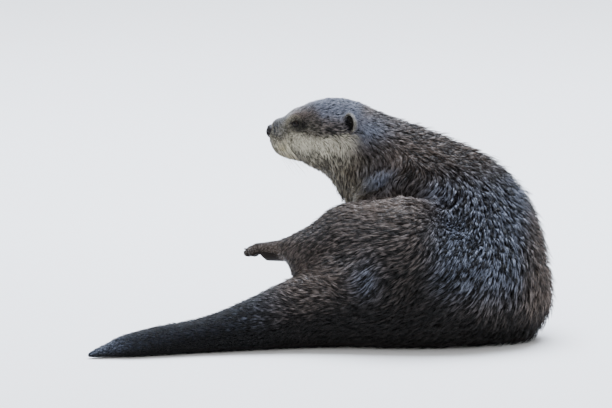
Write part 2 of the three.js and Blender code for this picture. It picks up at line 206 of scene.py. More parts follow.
def drawRings(shell, rows, segments, placeAt):
    # a circle drawn out row by row; placeAt(row, turn) sets each point, with turn from 0 to 1 round the ring
    ring = bmesh.ops.create_circle(shell, segments=segments, radius=1.0)["verts"]
    edges = list(dict.fromkeys(edge for corner in ring for edge in corner.link_edges))
    drawn = []
    for number, row in enumerate(rows):
        if number:
            grown = bmesh.ops.extrude_edge_only(shell, edges=edges)["geom"]
            fresh = {item for item in grown if isinstance(item, bmesh.types.BMVert)}
            ring = [next(other for other in (edge.other_vert(corner) for edge in corner.link_edges)
                         if other in fresh) for corner in ring]
            edges = [item for item in grown
                     if isinstance(item, bmesh.types.BMEdge) and set(item.verts) <= fresh]
        for k, corner in enumerate(ring):
            corner.co = placeAt(row, k / segments)
        drawn.append((ring, edges))
    return drawn


def closePole(shell, ring):
    middle = sum((corner.co for corner in ring), Vector()) / len(ring)
    bmesh.ops.pointmerge(shell, verts=ring, merge_co=middle)


# Camera, floor and light
studio = {
    "lookAt": Vector((-104, 40, 135.1)) * mm,   # middle of the picture
    "distance": 9.0,
    "elevation": math.radians(10),
    "acrossAtOtter": 0.612,                     # width of the picture at the animal
    "sensor": 36.0,
    "floorSize": 30.0,
    "floorColour": "#f4f3f1",
    "litSpot": Vector((-0.08, 0.04, 0.1)),      # the lamps point here
}


def buildStudio():
    e = studio["elevation"]
    away = Vector((0, -math.cos(e), math.sin(e)))
    lens = bpy.data.cameras.new("longLens")
    lens.sensor_width = studio["sensor"]
    lens.lens = studio["sensor"] * studio["distance"] / studio["acrossAtOtter"]
    lens.clip_start = 0.5
    lens.clip_end = 60.0
    camera = placeObject("camera", lens)
    camera.location = studio["lookAt"] + away * studio["distance"]
    camera.rotation_mode = "QUATERNION"
    camera.rotation_quaternion = (-away).to_track_quat("-Z", "Y")
    bpy.context.scene.camera = camera

    paper = bmesh.new()
    bmesh.ops.create_grid(paper, x_segments=8, y_segments=8, size=studio["floorSize"] / 2)
    floor = placeObject("floor", meshFrom(paper, "floor"))
    material, tree, shader = startMaterial("paper, matt white studio roll", 0.9, 1.45)
    # uncoated paper: a very faint cloudiness and no gloss
    cloud = ramp(tree, grainNoise(tree, 400.0, 1.0), 0.3, 0.7)
    paint(tree, shader, mixColours(tree, cloud, studio["floorColour"], "#f1f0ee"))
    floor.data.materials.append(material)

    world = bpy.data.worlds.new("paleRoom")
    world.use_nodes = True
    sky = world.node_tree.nodes["Background"]
    sky.inputs["Color"].default_value = toLinear("#eef1f6")
    sky.inputs["Strength"].default_value = 1.0
    bpy.context.scene.world = world

    lamps = {   # place, width, depth, watts, colour
        "skyPanel": ((0.1, 1.0, 2.7), 2.6, 2.0, 340.0, "#e2ebfb"),
        "frontFill": ((-1.2, -3.0, 1.6), 2.4, 1.8, 34.0, "#fbf8f2"),
    }
    for name, (place, width, depth, watts, colour) in lamps.items():
        light = bpy.data.lights.new(name, "AREA")
        light.shape = "RECTANGLE"
        light.size = width
        light.size_y = depth
        light.energy = watts
        light.color = toLinear(colour)[:3]
        lamp = placeObject(name, light)
        lamp.location = place
        lamp.rotation_mode = "QUATERNION"
        lamp.rotation_quaternion = (studio["litSpot"] - Vector(place)).to_track_quat("-Z", "Y")


buildStudio()
print("studio ready")


# The body's own lines
# The head's frame: x runs to the nose, y to the left ear, z up.
headAt = np.array([-80, 104, 196]) * mm
headYaw = math.radians(4)
headAxes = np.array([
    [-math.cos(headYaw), math.sin(headYaw), 0],
    [-math.sin(headYaw), -math.cos(headYaw), 0],
    [0, 0, 1],
])


def fromHead(*place):
    return headAt + np.array(place, float) * mm @ headAxes


def toHead(places):
    return (places - headAt) @ headAxes.T / mm


def headStep(x, y, z, radius, length):
    return (*(fromHead(x, y, z) / mm), radius, length)


# Each line runs the way the hair lies. A step is x, y, z, the body's radius there and the hair's length,
# in mm. lock is how far the hairs gather into wet points, lift how steeply they stand and droop how far
# they hang.
hairLines = {
    "tail": {"lock": 0.45, "lift": 0.27, "droop": -0.10, "path": [
        (-62, -2, 44, 46, 8.5), (-106, -9, 35, 36, 7.5), (-158, -24, 24, 26, 6.0), (-206, -40, 17, 19, 4.5),
        (-258, -57, 13.5, 15, 3.2), (-292, -67, 9, 10.5, 2.4), (-320, -75, 3.4, 4, 1.6)]},
    "trunk": {"lock": 0.85, "lift": 0.30, "droop": 0.22, "path": [
        (-24, 103, 158.5, 52, 9.0), (10, 100, 142, 57, 10.5), (46, 91, 122, 61, 12.0),
        (66, 74, 100, 62, 12.5), (73, 52, 77, 62, 12.5), (72, 27, 56, 62, 12.0), (38, 6, 53, 58, 11.0),
        (-14, 0, 50, 54, 10.0), (-62, -2, 44, 46, 9.0)]},
    "neck": {"lock": 0.55, "lift": 0.28, "droop": 0.18, "path": [
        (-76, 104, 193, 37, 6.0), (-46, 104, 177, 43, 7.5),
        (-24, 103, 158.5, 51, 9.0), (10, 100, 142, 57, 10.0)]},
    "head": {"lock": 0.35, "lift": 0.24, "droop": 0.0, "path": [
        headStep(64, 0, -3, 9, 1.2), headStep(52, 0, -4, 16, 1.6), headStep(40, 0, -3, 21, 2.2),
        headStep(26, 0, 0, 26, 3.2), headStep(0, 0, 2, 37, 4.8), headStep(-24, 0, 0, 38, 6.0)]},
    "haunchLeft": {"lock": 0.5, "lift": 0.27, "droop": 0.30, "path": [
        (20, -14, 92, 46, 10.0), (-6, -4, 98, 45, 9.5), (-60, 36, 102, 33, 8.5), (-78, 27, 94, 28, 6.5)]},
    "shankLeft": {"lock": 0.35, "lift": 0.25, "droop": 0.1, "path": [
        (-60, 36, 102, 33, 7.5), (-97, 20, 87.5, 25.5, 5.0),
        (-116, 25, 88, 12, 2.6), (-160, 48, 84, 9, 1.0)]},
    "hindRight": {"lock": 0.4, "lift": 0.27, "droop": 0.2, "path": [
        (-4, 24, 42, 38, 9.0), (22, 66, 30, 27, 7.5), (-30, 64, 16, 14, 4.5), (-90, 65, 7, 9, 1.2)]},
    "foreLeft": {"lock": 0.45, "lift": 0.27, "droop": 0.2, "path": [
        (4, 68, 150, 29, 9.0), (-36, 83, 98, 23, 7.0), (-42, 103, 20, 12, 3.0), (-80, 107, 6, 9, 1.2)]},
    "foreRight": {"lock": 0.45, "lift": 0.27, "droop": 0.2, "path": [
        (4, 136, 140, 29, 9.0), (-20, 146, 92, 22, 7.0), (-34, 146, 20, 12, 3.0), (-74, 145, 6, 9, 1.2)]},
}
lineSharpness = 7.0     # how quickly one line hands over to the next

# Strokes of the comb: where the hair turns from its line. Each is x, y, z and reach in mm, then the way
# the points lie in side view, in degrees: 0 is to the rump, 90 up, 180 to the tail's tip, 270 down.
strokeDrop = 0.75       # most that a stroke turns in or out across the body, for each step along it
combStrokes = {
    "tailRoot": [(-100, -14, 72, 26, 152), (-70, -37, 61, 20, 152), (-125, -39, 51, 24, 160),
                 (-150, -44, 42, 26, 186), (-80, -45, 32, 26, 182)],
    "haunch": [(-80, 10, 119, 30, 202), (-30, -10, 136, 28, 194), (-90, -4, 96, 22, 214),
               (-114, 4, 82, 14, 255), (20, 37, 145, 16, 212)],
    "buttock": [(-34, -48, 66, 18, 246), (-48, -35, 90, 20, 236), (0, -52, 64, 22, 238),
                (-30, -50, 33, 22, 194)],
    "hip": [(15, -46, 104, 24, 240), (30, -23, 120, 20, 234), (45, -39, 90, 24, 243), (80, -9, 107, 24, 271),
            (20, 10, 139, 17, 218), (38, 14, 130, 18, 230), (5, 0, 142, 12, 206), (20, -14, 133, 16, 222),
            (38, -6, 121, 18, 234), (8, -30, 129, 14, 210), (10, 37, 150, 14, 222), (27, 38, 154, 14, 222),
            (42, 32, 146, 14, 236), (55, 12, 131, 16, 244)],
    "side": [(60, -46, 70, 19, 234), (88, -30, 78, 20, 256), (92, -34, 56, 18, 252),
             (64, -36, 94, 16, 242)],
    "rump": [(95, 89, 161, 24, 318), (115, 60, 136, 26, 306), (130, 43, 103, 24, 294), (136, 23, 71, 24, 277),
             (133, 1, 44, 24, 256), (82, -39, 41, 22, 252), (40, -53, 44, 22, 214), (10, -52, 33, 22, 204)],
    "loin": [(60, 43, 159, 16, 305), (50, 29, 141, 13, 242), (74, 24, 142, 16, 284), (90, 20, 133, 16, 284),
             (60, 2, 122, 18, 250), (56, -22, 106, 18, 242), (95, 0, 110, 18, 276), (105, 8, 96, 18, 276)],
    "shoulder": [(-45, 68, 207, 12, 318), (-47, 69, 199, 9, 268), (-16, 57, 190, 15, 316),
                 (-12, 52, 181, 11, 286), (-16, 51, 172, 11, 250), (-28, 57, 180, 12, 300),
                 (-45, 60, 167, 14, 264), (-49, 71, 141, 12, 232), (-20, 48, 152, 12, 292),
                 (-33, 61, 143, 10, 252)],
    "shoulderFold": [(-8, 50, 174, 9, 222), (-22, 52, 166, 9, 224), (-38, 60, 154, 9, 228),
                     (-53, 72, 140, 9, 234)],
    "cheek": [(-100, 69, 190, 10, 308), (-75, 65, 178, 13, 286), (-65, 64, 184, 9, 266),
              (-63, 70, 151, 14, 272), (-80, 78, 161, 13, 285)],
}


def readLines(places):
    # lie of the hair, its length, lock, lift and droop at each place, and which line holds it
    count = len(places)
    shares, lies, facts = [], [], []
    for line in hairLines.values():
        path = np.array(line["path"], float)
        points, radii, lengths = path[:, :3] * mm, path[:, 3] * mm, path[:, 4]
        best = np.full(count, np.inf)
        lie = np.zeros((count, 3))
        length = np.zeros(count)
        for i in range(len(points) - 1):
            step = points[i + 1] - points[i]
            t = np.clip((places - points[i]) @ step / (step @ step), 0, 1)
            away = np.linalg.norm(places - points[i] - t[:, None] * step, axis=1)
            ratio = away / (radii[i] + (radii[i + 1] - radii[i]) * t)
            nearer = ratio < best
            best[nearer] = ratio[nearer]
            lie[nearer] = step / np.linalg.norm(step)
            length[nearer] = (lengths[i] + (lengths[i + 1] - lengths[i]) * t)[nearer]
        shares.append(np.exp(-lineSharpness * best ** 2))
        lies.append(lie)
        lock, lift, droop = (np.full(count, line[key]) for key in ("lock", "lift", "droop"))
        facts.append(np.stack([length, lock, lift, droop], 1))
    shares = np.array(shares)
    shares /= np.maximum(shares.sum(0), 1e-30)
    lie = unit(np.einsum("gn,gnk->nk", shares, np.array(lies)))
    fact = np.einsum("gn,gnk->nk", shares, np.array(facts))
    return lie, fact[:, 0], fact[:, 1], fact[:, 2], fact[:, 3], shares


# Markings and painted light, the same for skin and coat: coat colours, painted shade and the painted
# reflection of the sky. Each is a share from 0 to 1 at a place on the body.
def bloom(places, centre, reach):
    return np.exp(-(((places - np.array(centre)) / np.array(reach)) ** 2).sum(1))


def sideways(head):
    # the head's two sides as one, with y always outwards
    return np.column_stack([head[:, 0], np.abs(head[:, 1]), head[:, 2]])


def onHead(head):
    return (head[:, 0] > -40) & (np.abs(head[:, 1]) < 48) & (head[:, 2] > -40)


# In the ear's own frame x runs out of the cup's mouth, y to its rear edge and z up.
ear = {"at": (-23.0, 33.5, 16.5), "half": (8.5, 10.0), "yaw": 0.87}
eye = {"at": (31.5, 18.0, 12.6), "radius": 5.6, "axis": (0.40, 0.86, 0.20)}


def toEar(head):
    x, y, z = (sideways(head) - np.array(ear["at"])).T
    c, s = math.cos(ear["yaw"]), math.sin(ear["yaw"])
    return np.column_stack([x * c + y * s, y * c - x * s, z])


def earParts(head):
    # how much of a place is ear, hollow of the ear, and the ear's rim
    x, y, z = (toEar(head) / [1, *ear["half"]]).T
    spread = np.hypot(y, z)
    isEar = smoothStep(spread, 1.22, 1.08) * smoothStep(x, -7.5, -4.5) * smoothStep(x, 7, 4)
    hollow = isEar * smoothStep(spread, 0.86, 0.7) * smoothStep(x, -3.4, -2.6)
    rim = isEar * smoothStep(spread, 0.78, 0.9) * smoothStep(x, 0.0, 1.0) * smoothStep(y + 0.8 * z, -0.5, 0.3)
    return isEar, hollow, rim


faceFolds = {
    # each is cut along a line in the head's frame: half width, depth, the lip's rise beside it, and points
    "mouth": (0.8, 1.2, 0.55, [(62, 0, -10), (58.5, 7, -11), (54, 12, -13), (46, 17.5, -15.5),
                               (39, 20.5, -16.5), (33.5, 22, -15)]),
    "philtrum": (0.6, 0.8, 0.3, [(64, 0, -4), (62.5, 0, -10)]),
    "noseWing": (0.8, 0.5, 0.3, [(55, 9.5, 7), (53, 11, 2), (54, 11, -3)]),
    "innerEye": (0.7, 0.5, 0.2, [(38.5, 20, 10.5), (42, 18.5, 8)]),
    "outerEye": (0.7, 0.4, 0.2, [(25, 26, 12), (20, 28, 11)]),
}
whiskerRows = [     # head's x from and to, z at each end, and how many
    (54, 44, -1.5, -3.0, 4), (54.5, 42, -4.5, -6.5, 5), (54, 41, -7.5, -10.0, 5), (52, 43, -10.0, -12.5, 4)]


def lineGap(places, path, facing=None):
    # how far each place is from a line; with facing, only along the surface and not through the head
    gap = np.full(len(places), np.inf)
    points = np.array(path, float)
    for a, b in zip(points[:-1], points[1:]):
        t = np.clip((places - a) @ (b - a) / ((b - a) @ (b - a)), 0, 1)
        away = places - a - t[:, None] * (b - a)
        if facing is not None:
            height = (away * facing).sum(1)
            away = away - height[:, None] * facing
            away[np.abs(height) >= 5] = np.inf
        gap = np.minimum(gap, np.linalg.norm(away, axis=1))
    return gap


# The neck's skin folds over the shoulder: a ridge, and the hollow below it, as lines in mm.
shoulderFold = {
    "ridge": [(-10, 51, 174), (-22, 52, 166), (-38, 60, 154), (-54, 73, 139)],
    "hollow": [(-7, 50, 167), (-19, 49, 159), (-33, 57, 147), (-45, 68, 136)],
}


# Blooms of colour, as strength, middle and reach in mm: on the body, and in the head's frame on both sides.
bodyBlooms = {
    "warm": [(0.95, (-25, 8, 140), (60, 45, 13)),       # top of the haunch
             (0.8, (-98, -14, 68), (36, 34, 15)),       # root of the tail
             (0.95, (45, 92, 178), (62, 60, 25)),       # upper back
             (0.5, (-22, 60, 182), (26, 22, 14)),       # side of the neck
             (0.3, (20, -40, 36), (90, 30, 22)),        # foot of the buttock
             (0.6, (-120, 25, 90), (40, 30, 16))],      # raised foot
    # painted reflection of the sky on the wet fur, as a blue-grey tint
    "skyReflection": [(0.9, (-42, 72, 206), (20, 22, 14)),       # nape
             (0.9, (-32, 58, 162), (22, 18, 16)),       # shoulder
             (0.5, (22, 38, 150), (26, 20, 12)),        # loin
             (0.85, (-40, -42, 74), (15, 18, 22))],     # behind the thigh
    # painted shade in the body's hollows and folds
    "shadeAndDarkMarks": [(0.7, (-39, 66, 185), (14, 18, 18)),       # neck below the ear
             (0.45, (40, 52, 171), (26, 22, 12)),       # dip of the back
             (0.96, (6, -54, 56), (48, 34, 44)),        # below the haunch
             (0.95, (-20, -49, 58), (8, 18, 30)),       # fold behind the thigh
             (0.45, (0, 46, 154), (16, 16, 12))],       # fold over the haunch
    # painted highlight: tufts lighter where light falls on the nape, shoulder, haunch top and loin; darker on
    # the upper back, lighter on the raised foot's toes
    "paintedSheen": [(0.42, (-40, 68, 203), (26, 24, 18)),     # nape
              (0.3, (-32, 58, 162), (20, 16, 14)),      # shoulder
              (0.34, (-30, 6, 142), (44, 26, 12)),      # top of the haunch
              (0.3, (22, 36, 150), (24, 20, 11)),       # loin
              (-0.2, (45, 92, 170), (60, 50, 22)),      # upper back
              (0.4, (-156, 20, 98), (18, 60, 12))],     # toes of the raised foot
}
headBlooms = {
    # pale fur on the bridge of the muzzle, brightened further as a painted highlight where it faces up
    "pale": [(0.4, (46, 0, 11), (12, 9, 6))],           # bridge of the muzzle
    "warm": [(0.85, (31, 17, 21.5), (11, 9, 4.5))],     # brow
    "shadeAndDarkMarks": [(0.6, (56, 8, 0), (5, 6, 7)),              # beside the nose
             (0.8, (41, 17, 8), (4.5, 5, 2.6))],        # inner corner of the eye
    # painted shade under the ear
    "underEarShade": [(0.8, (-30, 27, 3), (6, 9, 8))],
    # painted highlight on the brow and on the bridge of the muzzle
    "paintedSheen": [(0.4, (29, 17, 20), (13, 10, 5.5)),       # brow
              (0.35, (46, 0, 11), (12, 9, 6))],         # bridge of the muzzle
}


def blooms(places, spots):
    return sum(strength * bloom(places, centre, reach) for strength, centre, reach in spots)


def darkest(*shares):
    return np.maximum.reduce(shares)


def markingsAndPaintedLight(places, normals):
    p = places / mm
    head = toHead(places)
    hx, hy, hz = head.T
    sided = sideways(head)
    headShare = smoothStep(hx, -36, -22) * smoothStep(hz, -42, -34) * smoothStep(np.abs(hy), 50, 44)
    isEar, hollow, rim = earParts(head)
    # pale cheeks, lips and chin: below a line from the lip, under the eye, to the ear's lower edge
    edge = np.interp(hx, [-30, -16, -6, 8, 22, 30, 40, 46, 54, 64], [5, 7, 5.5, 3.5, 3.5, 5, 5, -3, -6.5, -6])
    edge = edge + 1.0 * np.sin(hx * 0.9) + 0.7 * np.sin(hx * 2.3)
    paleHead = smoothStep(hz, edge + 2.4, edge - 3.6) * (1 - 0.55 * smoothStep(hx, -14, -26))
    paleHead *= 1 - 0.34 * smoothStep(hx, 38, 50)
    paleHead = np.maximum(paleHead, blooms(sided, headBlooms["pale"]))
    # pale throat and chest: the side that looks forwards and down
    front = normals @ unit(np.array([-0.86, -0.12, -0.5]))
    paleNeck = smoothStep(front, 0.0, 0.62) * smoothStep(p[:, 0], -8, -44) * smoothStep(p[:, 2], 95, 135)
    upper = smoothStep(p[:, 2], 95, 120) * smoothStep(p[:, 1], 55, 70)
    pale = np.clip(np.maximum(paleHead * headShare, paleNeck * (1 - headShare * 0.6)), 0, 1) * upper
    pale *= 1 - 0.74 * smoothStep(hz, -5, -28)
    pale = np.maximum(pale * (1 - isEar), 0.34 * rim)
    # the belly and the inner legs, a dull buff, never as pale as the throat
    belly = smoothStep(front, 0.2, 0.75) * smoothStep(p[:, 1], 30, 60) * 0.45
    throat = 0.9 * smoothStep(front, -0.15, 0.4) * smoothStep(hz, -6, -16) * upper
    belly = np.maximum(belly, throat) * (1 - pale)
    # brown, also on the rump's edge
    warm = blooms(p, bodyBlooms["warm"]) + blooms(sided, headBlooms["warm"])
    warm += 0.7 * smoothStep(p[:, 0], 104, 130)
    # painted reflection of the sky: a blue-grey tint on the wet fur, also on the back's middle, the tail's
    # end, the crown, the shoulder's ridge and the muzzle
    middle = smoothStep(p[:, 2], 34, 84) * smoothStep(p[:, 2], 178, 158)
    skyReflection = 0.95 * middle * smoothStep(p[:, 0], 8, 42) * smoothStep(p[:, 0], 125, 98)
    skyReflection += smoothStep(p[:, 0], -110, -180) * smoothStep(p[:, 2], 86, 76)
    crownFrom = np.interp(hx, [8, 18], [13, 21])
    skyReflection += 0.75 * headShare * smoothStep(hz, crownFrom, crownFrom + 13) + blooms(p, bodyBlooms["skyReflection"])
    skyReflection += 0.55 * np.exp(-(lineGap(p, shoulderFold["ridge"]) / 4.5) ** 2)
    skyReflection += 0.8 * headShare * smoothStep(hx, 40, 50) * smoothStep(hz, -3, 3)
    # near black: painted shade by the floor, in the folds, in the mouth's crease, under the ear and inside
    # it; darker round the eye, on the lids and beside the nose
    # painted shade: the underside goes near black below a height that changes along the body
    floorShadeTop = np.interp(p[:, 0], [-330, -258, -158, -100, -50, 30, 80, 140], [5, 15, 38, 56, 86, 94, 60, 48])
    low = 0.98 * smoothStep(p[:, 2], floorShadeTop, floorShadeTop * 0.46) * smoothStep(p[:, 1], 80, 40)
    eyeGap = np.linalg.norm((sided - np.array([29.0, 20, 11.8])) * [0.68, 0.6, 1.0], axis=1)
    byEye = 0.66 * smoothStep(eyeGap, 9.4, 6.0) + 0.28 * smoothStep(eyeGap, 6.0, 4.4)
    onLids = 0.6 * smoothStep(np.linalg.norm(sided - np.array(eye["at"]), axis=1), 9.0, 7.0)
    mouth = np.exp(-(lineGap(sided, faceFolds["mouth"][3]) / 1.5) ** 2) * smoothStep(hx, 36, 44)
    onFace = [strength * bloom(sided, *spot) for strength, *spot in headBlooms["shadeAndDarkMarks"]]
    # painted shade in the body's hollows, in the shoulder's hollow and under the ear
    bodyShade = [strength * bloom(p, *spot) for strength, *spot in bodyBlooms["shadeAndDarkMarks"]]
    underEarShade = blooms(sided, headBlooms["underEarShade"]) * (1 - isEar)
    hollowShade = 0.7 * np.exp(-(lineGap(p, shoulderFold["hollow"]) / 3.5) ** 2)
    shadeAndDarkMarks = darkest(low, hollowShade, underEarShade, *bodyShade, darkest(byEye, onLids, 0.85 * mouth, *onFace) * headShare)
    # painted shade inside the ear's cup, with its rim kept pale
    shadeAndDarkMarks = np.maximum(shadeAndDarkMarks * (1 - rim), 0.9 * hollow)
    return {"pale": pale, "belly": belly, "warm": np.clip(warm, 0, 1), "skyReflection": np.clip(skyReflection, 0, 1),
            "shadeAndDarkMarks": np.clip(shadeAndDarkMarks, 0, 1), "sole": soleShare(p, normals)}


# The feet's own frames: u runs out to the toes, v across and w to the back of the foot.
footShapes = {   # ankle, way of the toes, way of the foot's back, length, half width
    "hindLeft": ((-99, 17, 92.5), (-0.88, 0.45, -0.06), (0.05, 0.2, 0.98), 75, 12),
    "hindRight": ((-28, 64, 8.5), (-1, 0.02, 0), (0, 0, 1), 72, 12),
    "foreLeft": ((-42, 103, 8.5), (-0.98, 0.1, 0), (0, 0, 1), 46, 12),
    "foreRight": ((-34, 146, 8.5), (-1, -0.03, 0), (0, 0, 1), 46, 12),
}
toeReach = {"hind": (0.87, 0.97, 1, 0.95, 0.84), "fore": (0.84, 0.96, 1, 0.96, 0.84)}
toeRadius = {"hind": 4.6, "fore": 4.2}
soleFrom = {"hind": (26, 34), "fore": (4, 14)}      # fur gives way to the bare sole between these, in u


def footAxes(name):
    at, toes, top = (np.array(value, float) for value in footShapes[name][:3])
    u = unit(toes)
    v = unit(np.cross(top, u))
    return at, np.array([u, v, np.cross(u, v)])


def toeTips(name):
    # the middle of each toe's round end, in the foot's frame
    length, wide = footShapes[name][3:]
    radius = toeRadius[name[:4]]
    for i, reach in enumerate(toeReach[name[:4]]):
        yield length * reach - radius, (i - 2) / 2 * wide * 1.25, -2.6


def soleShare(p, normals):
    # bare skin under the feet; on the raised foot it shows
    share = np.zeros(len(p))
    for name, (_, _, _, length, wide) in footShapes.items():
        at, axes = footAxes(name)
        u, v, w = ((p - at) @ axes.T).T
        inside = smoothStep(u, *soleFrom[name[:4]]) * smoothStep(u, length + 8, length + 2)
        inside *= smoothStep(np.abs(v), wide * 2, wide * 1.5) * smoothStep(w, 3, -1) * (w > -26)
        share = np.maximum(share, inside * smoothStep(normals @ axes[2], -0.1, -0.5))
    return share


# The skin: every flesh node as one closed surface, sunk below the coat's tips
skinLook = {
    "weld": 0.28,            # each solid grows by this, so that the cuts between them close
    "voxel": 2.25,
    "smoothTimes": 16,
    "floorClear": 14.0,      # below this height the skin sinks less, so that it still meets the floor
    "floorSink": 0.25,
    "faceFrom": 6.0,         # the face's mesh is halved from here forwards, in the head's x
    "muzzleFrom": 33.0,
    "lowest": 0.15,          # no part of the skin is lower than this
    "lieRounds": 10,
}
fleshNodes = [name for name in nodes if not name.startswith(("eye", "nose"))]


# The flank's loose skin hangs forwards over the top of the haunch: balls as x, y, z and radius in mm.
flankFold = [(-26, 6, 121.5, 24), (-14, 10, 122.5, 24), (-2, 14, 123, 24), (11, 19, 120.5, 23),
             (24, 24, 117.5, 22), (35, 26, 114, 21), (46, 28, 110, 20)]


def weldFlesh():
    body = bmesh.new()
    for x, y, z, radius in flankFold:
        spot = Matrix.Translation(Vector((x, y, z)) * mm)
        bmesh.ops.create_icosphere(body, subdivisions=3, radius=radius * mm, matrix=spot)
    for name in [name for name in fleshNodes if not name.startswith("ear")]:
        part = openMesh(nodes[name].data)
        bmesh.ops.remove_doubles(part, verts=part.verts, dist=0.004 * mm)
        part.normal_update()
        for corner in part.verts:
            corner.co += corner.normal * skinLook["weld"] * mm
        mesh = meshFrom(part, "flesh")
        body.from_mesh(mesh)
        bpy.data.meshes.remove(mesh)
    mesh = meshFrom(body, "welded")
    welded = placeObject("welded", mesh)
    remesh = welded.modifiers.new("weld", "REMESH")
    remesh.mode = "VOXEL"
    remesh.voxel_size = skinLook["voxel"] * mm
    remesh.use_smooth_shade = True
    skinMesh = finishedMesh(welded)
    bpy.data.objects.remove(welded)
    bpy.data.meshes.remove(mesh)
    return skinMesh


def smoothSkin(skinMesh):
    # the trunk takes every round of smoothing, the head a few and the toes almost none
    places = readPlaces(skinMesh)
    length = readLines(places)[1]
    softness = smoothStep(length, 1.2, 8.0) * 0.97 + 0.03
    head = toHead(places)
    softness = np.where(onHead(head), np.minimum(softness, 0.16), softness)
    surface = openMesh(skinMesh)
    rounds = softness * skinLook["smoothTimes"]
    for step in range(skinLook["smoothTimes"]):
        soften(surface, [surface.verts[i] for i in np.flatnonzero(rounds > step)])
    closeMesh(surface, skinMesh)


def hairLength(places):
    # the lines' length, cut short on the ears and round the eyes
    head = toHead(places)
    length = readLines(places)[1]
    length = length + (1.9 - length) * earParts(head)[0]
    eyeGap = np.linalg.norm(sideways(head) - np.array([32.5, 20, 13]), axis=1)
    return length + (np.minimum(length, 1.3) - length) * smoothStep(eyeGap, 12, 7)


def sinkSkin(skinMesh):
    places, normals = readPlaces(skinMesh), readNormals(skinMesh)
    _, length, _, lift, _, _ = readLines(places)
    depth = length * lift
    nearFloor = smoothStep(places[:, 2] / mm, 1.0, skinLook["floorClear"])
    depth *= skinLook["floorSink"] + (1 - skinLook["floorSink"]) * nearFloor
    places -= normals * (depth * mm)[:, None]
    places[:, 2] = np.maximum(places[:, 2], skinLook["lowest"] * mm)
    writePlaces(skinMesh, places)


def refineFace(skinMesh):
    surface = openMesh(skinMesh)
    for start in (skinLook["faceFrom"], skinLook["muzzleFrom"]):
        surface.verts.ensure_lookup_table()
        places = np.array([corner.co for corner in surface.verts])
        head = toHead(places)
        onFace = onHead(head) & (head[:, 0] > start)
        chosen = [edge for edge in surface.edges if all(onFace[corner.index] for corner in edge.verts)]
        bmesh.ops.subdivide_edges(surface, edges=chosen, cuts=1, use_grid_fill=True)
        surface.verts.index_update()
        surface.verts.ensure_lookup_table()
        head = toHead(np.array([corner.co for corner in surface.verts]))
        onFace = onHead(head) & (head[:, 0] > start - 1)
        face = [corner for corner, inside in zip(surface.verts, onFace) if inside]
        for _ in range(2):
            soften(surface, face)
    closeMesh(surface, skinMesh)


lidLook = {
    # a row is degrees and mm up: 0 counts from the opening and the ball, 1 from the axis and the face
    "halfWidth": 46.0, "above": 33.0, "below": 28.0,      # the opening, in degrees from the eye's axis
    "squareness": 1.7,
    "rows": ((0, 0.05, 0), (1, 0.4, 0), (5, 0.6, 0), (51, 0.1, 1), (58, 0.1, 1), (63, -0.3, 1), (68, -1.8, 1),
             (58, -3.6, 1), (0, -0.8, 0)),
    "face": 4.5,            # the face stands this far out from the middle of the ball
    "points": 48,
    "socket": (8.6, 2.8, 1.3),     # the flesh rises round the eye: how far out, how broad, how high in mm
}
earLook = {
    # share of the ear's half size, mm out of the cup, mm lower
    "rows": ((0.04, -8.0, 5.0), (0.35, -7.0, 4.2), (0.7, -4.4, 2.2), (0.93, -1.8, 0.6), (1.0, 0.2, 0.0),
             (1.0, 1.4, 0.0), (0.94, 2.1, 0.0), (0.84, 1.7, 0.0), (0.72, 0.5, 0.0), (0.58, -0.7, 0.3),
             (0.4, -1.5, 0.6), (0.2, -2.0, 0.8), (0.04, -2.1, 0.9)),
    "rearStands": 1.3, "frontNarrows": 0.14,
    "points": 40,
}


def eyeAxes(side):
    out = unit(np.array(eye["axis"]) * [1, side, 1])
    ahead = unit(np.cross([0, 0, 1], out)) * -side     # along the slit, towards the nose
    return out, ahead, np.cross(out, ahead) * side


def lidPoint(side):
    out, ahead, up = eyeAxes(side)
    look = lidLook

    def placeAt(row, turn):
        degrees, rise, fromFace = row
        c, s = math.cos(turn * math.tau), math.sin(turn * math.tau)
        tall = look["above"] if s > 0 else look["below"]
        p = look["squareness"]
        opening = (abs(c / look["halfWidth"]) ** p + abs(s / tall) ** p) ** (-1 / p)
        polar = math.radians(degrees if fromFace else opening + degrees)
        base = look["face"] / math.cos(polar) if fromFace else eye["radius"]
        way = out * math.cos(polar) + (ahead * c + up * s) * math.sin(polar)
        middle = np.array(eye["at"]) * [1, side, 1]
        return Vector(fromHead(*(middle + way * (base + rise))))
    return placeAt


def earPoint(side):
    c, s = math.cos(ear["yaw"]), math.sin(ear["yaw"])

    def placeAt(row, turn):
        share, out, lower = row
        cosine, sine = math.cos(turn * math.tau), math.sin(turn * math.tau)
        share *= 1 - earLook["frontNarrows"] * max(0.0, math.cos(turn * math.tau - math.radians(215))) ** 2
        x = out + earLook["rearStands"] * share * (0.7 * cosine + 0.3 * sine)
        y = ear["half"][0] * share * cosine
        z = ear["half"][1] * share * sine - lower
        ahead, outwards, high = ear["at"]
        return Vector(fromHead(ahead + x * c - y * s, side * (outwards + x * s + y * c), high + z))
    return placeAt


muzzleLook = {"forward": 2.6, "bridge": 4.4, "forehead": 1.8}       # mm


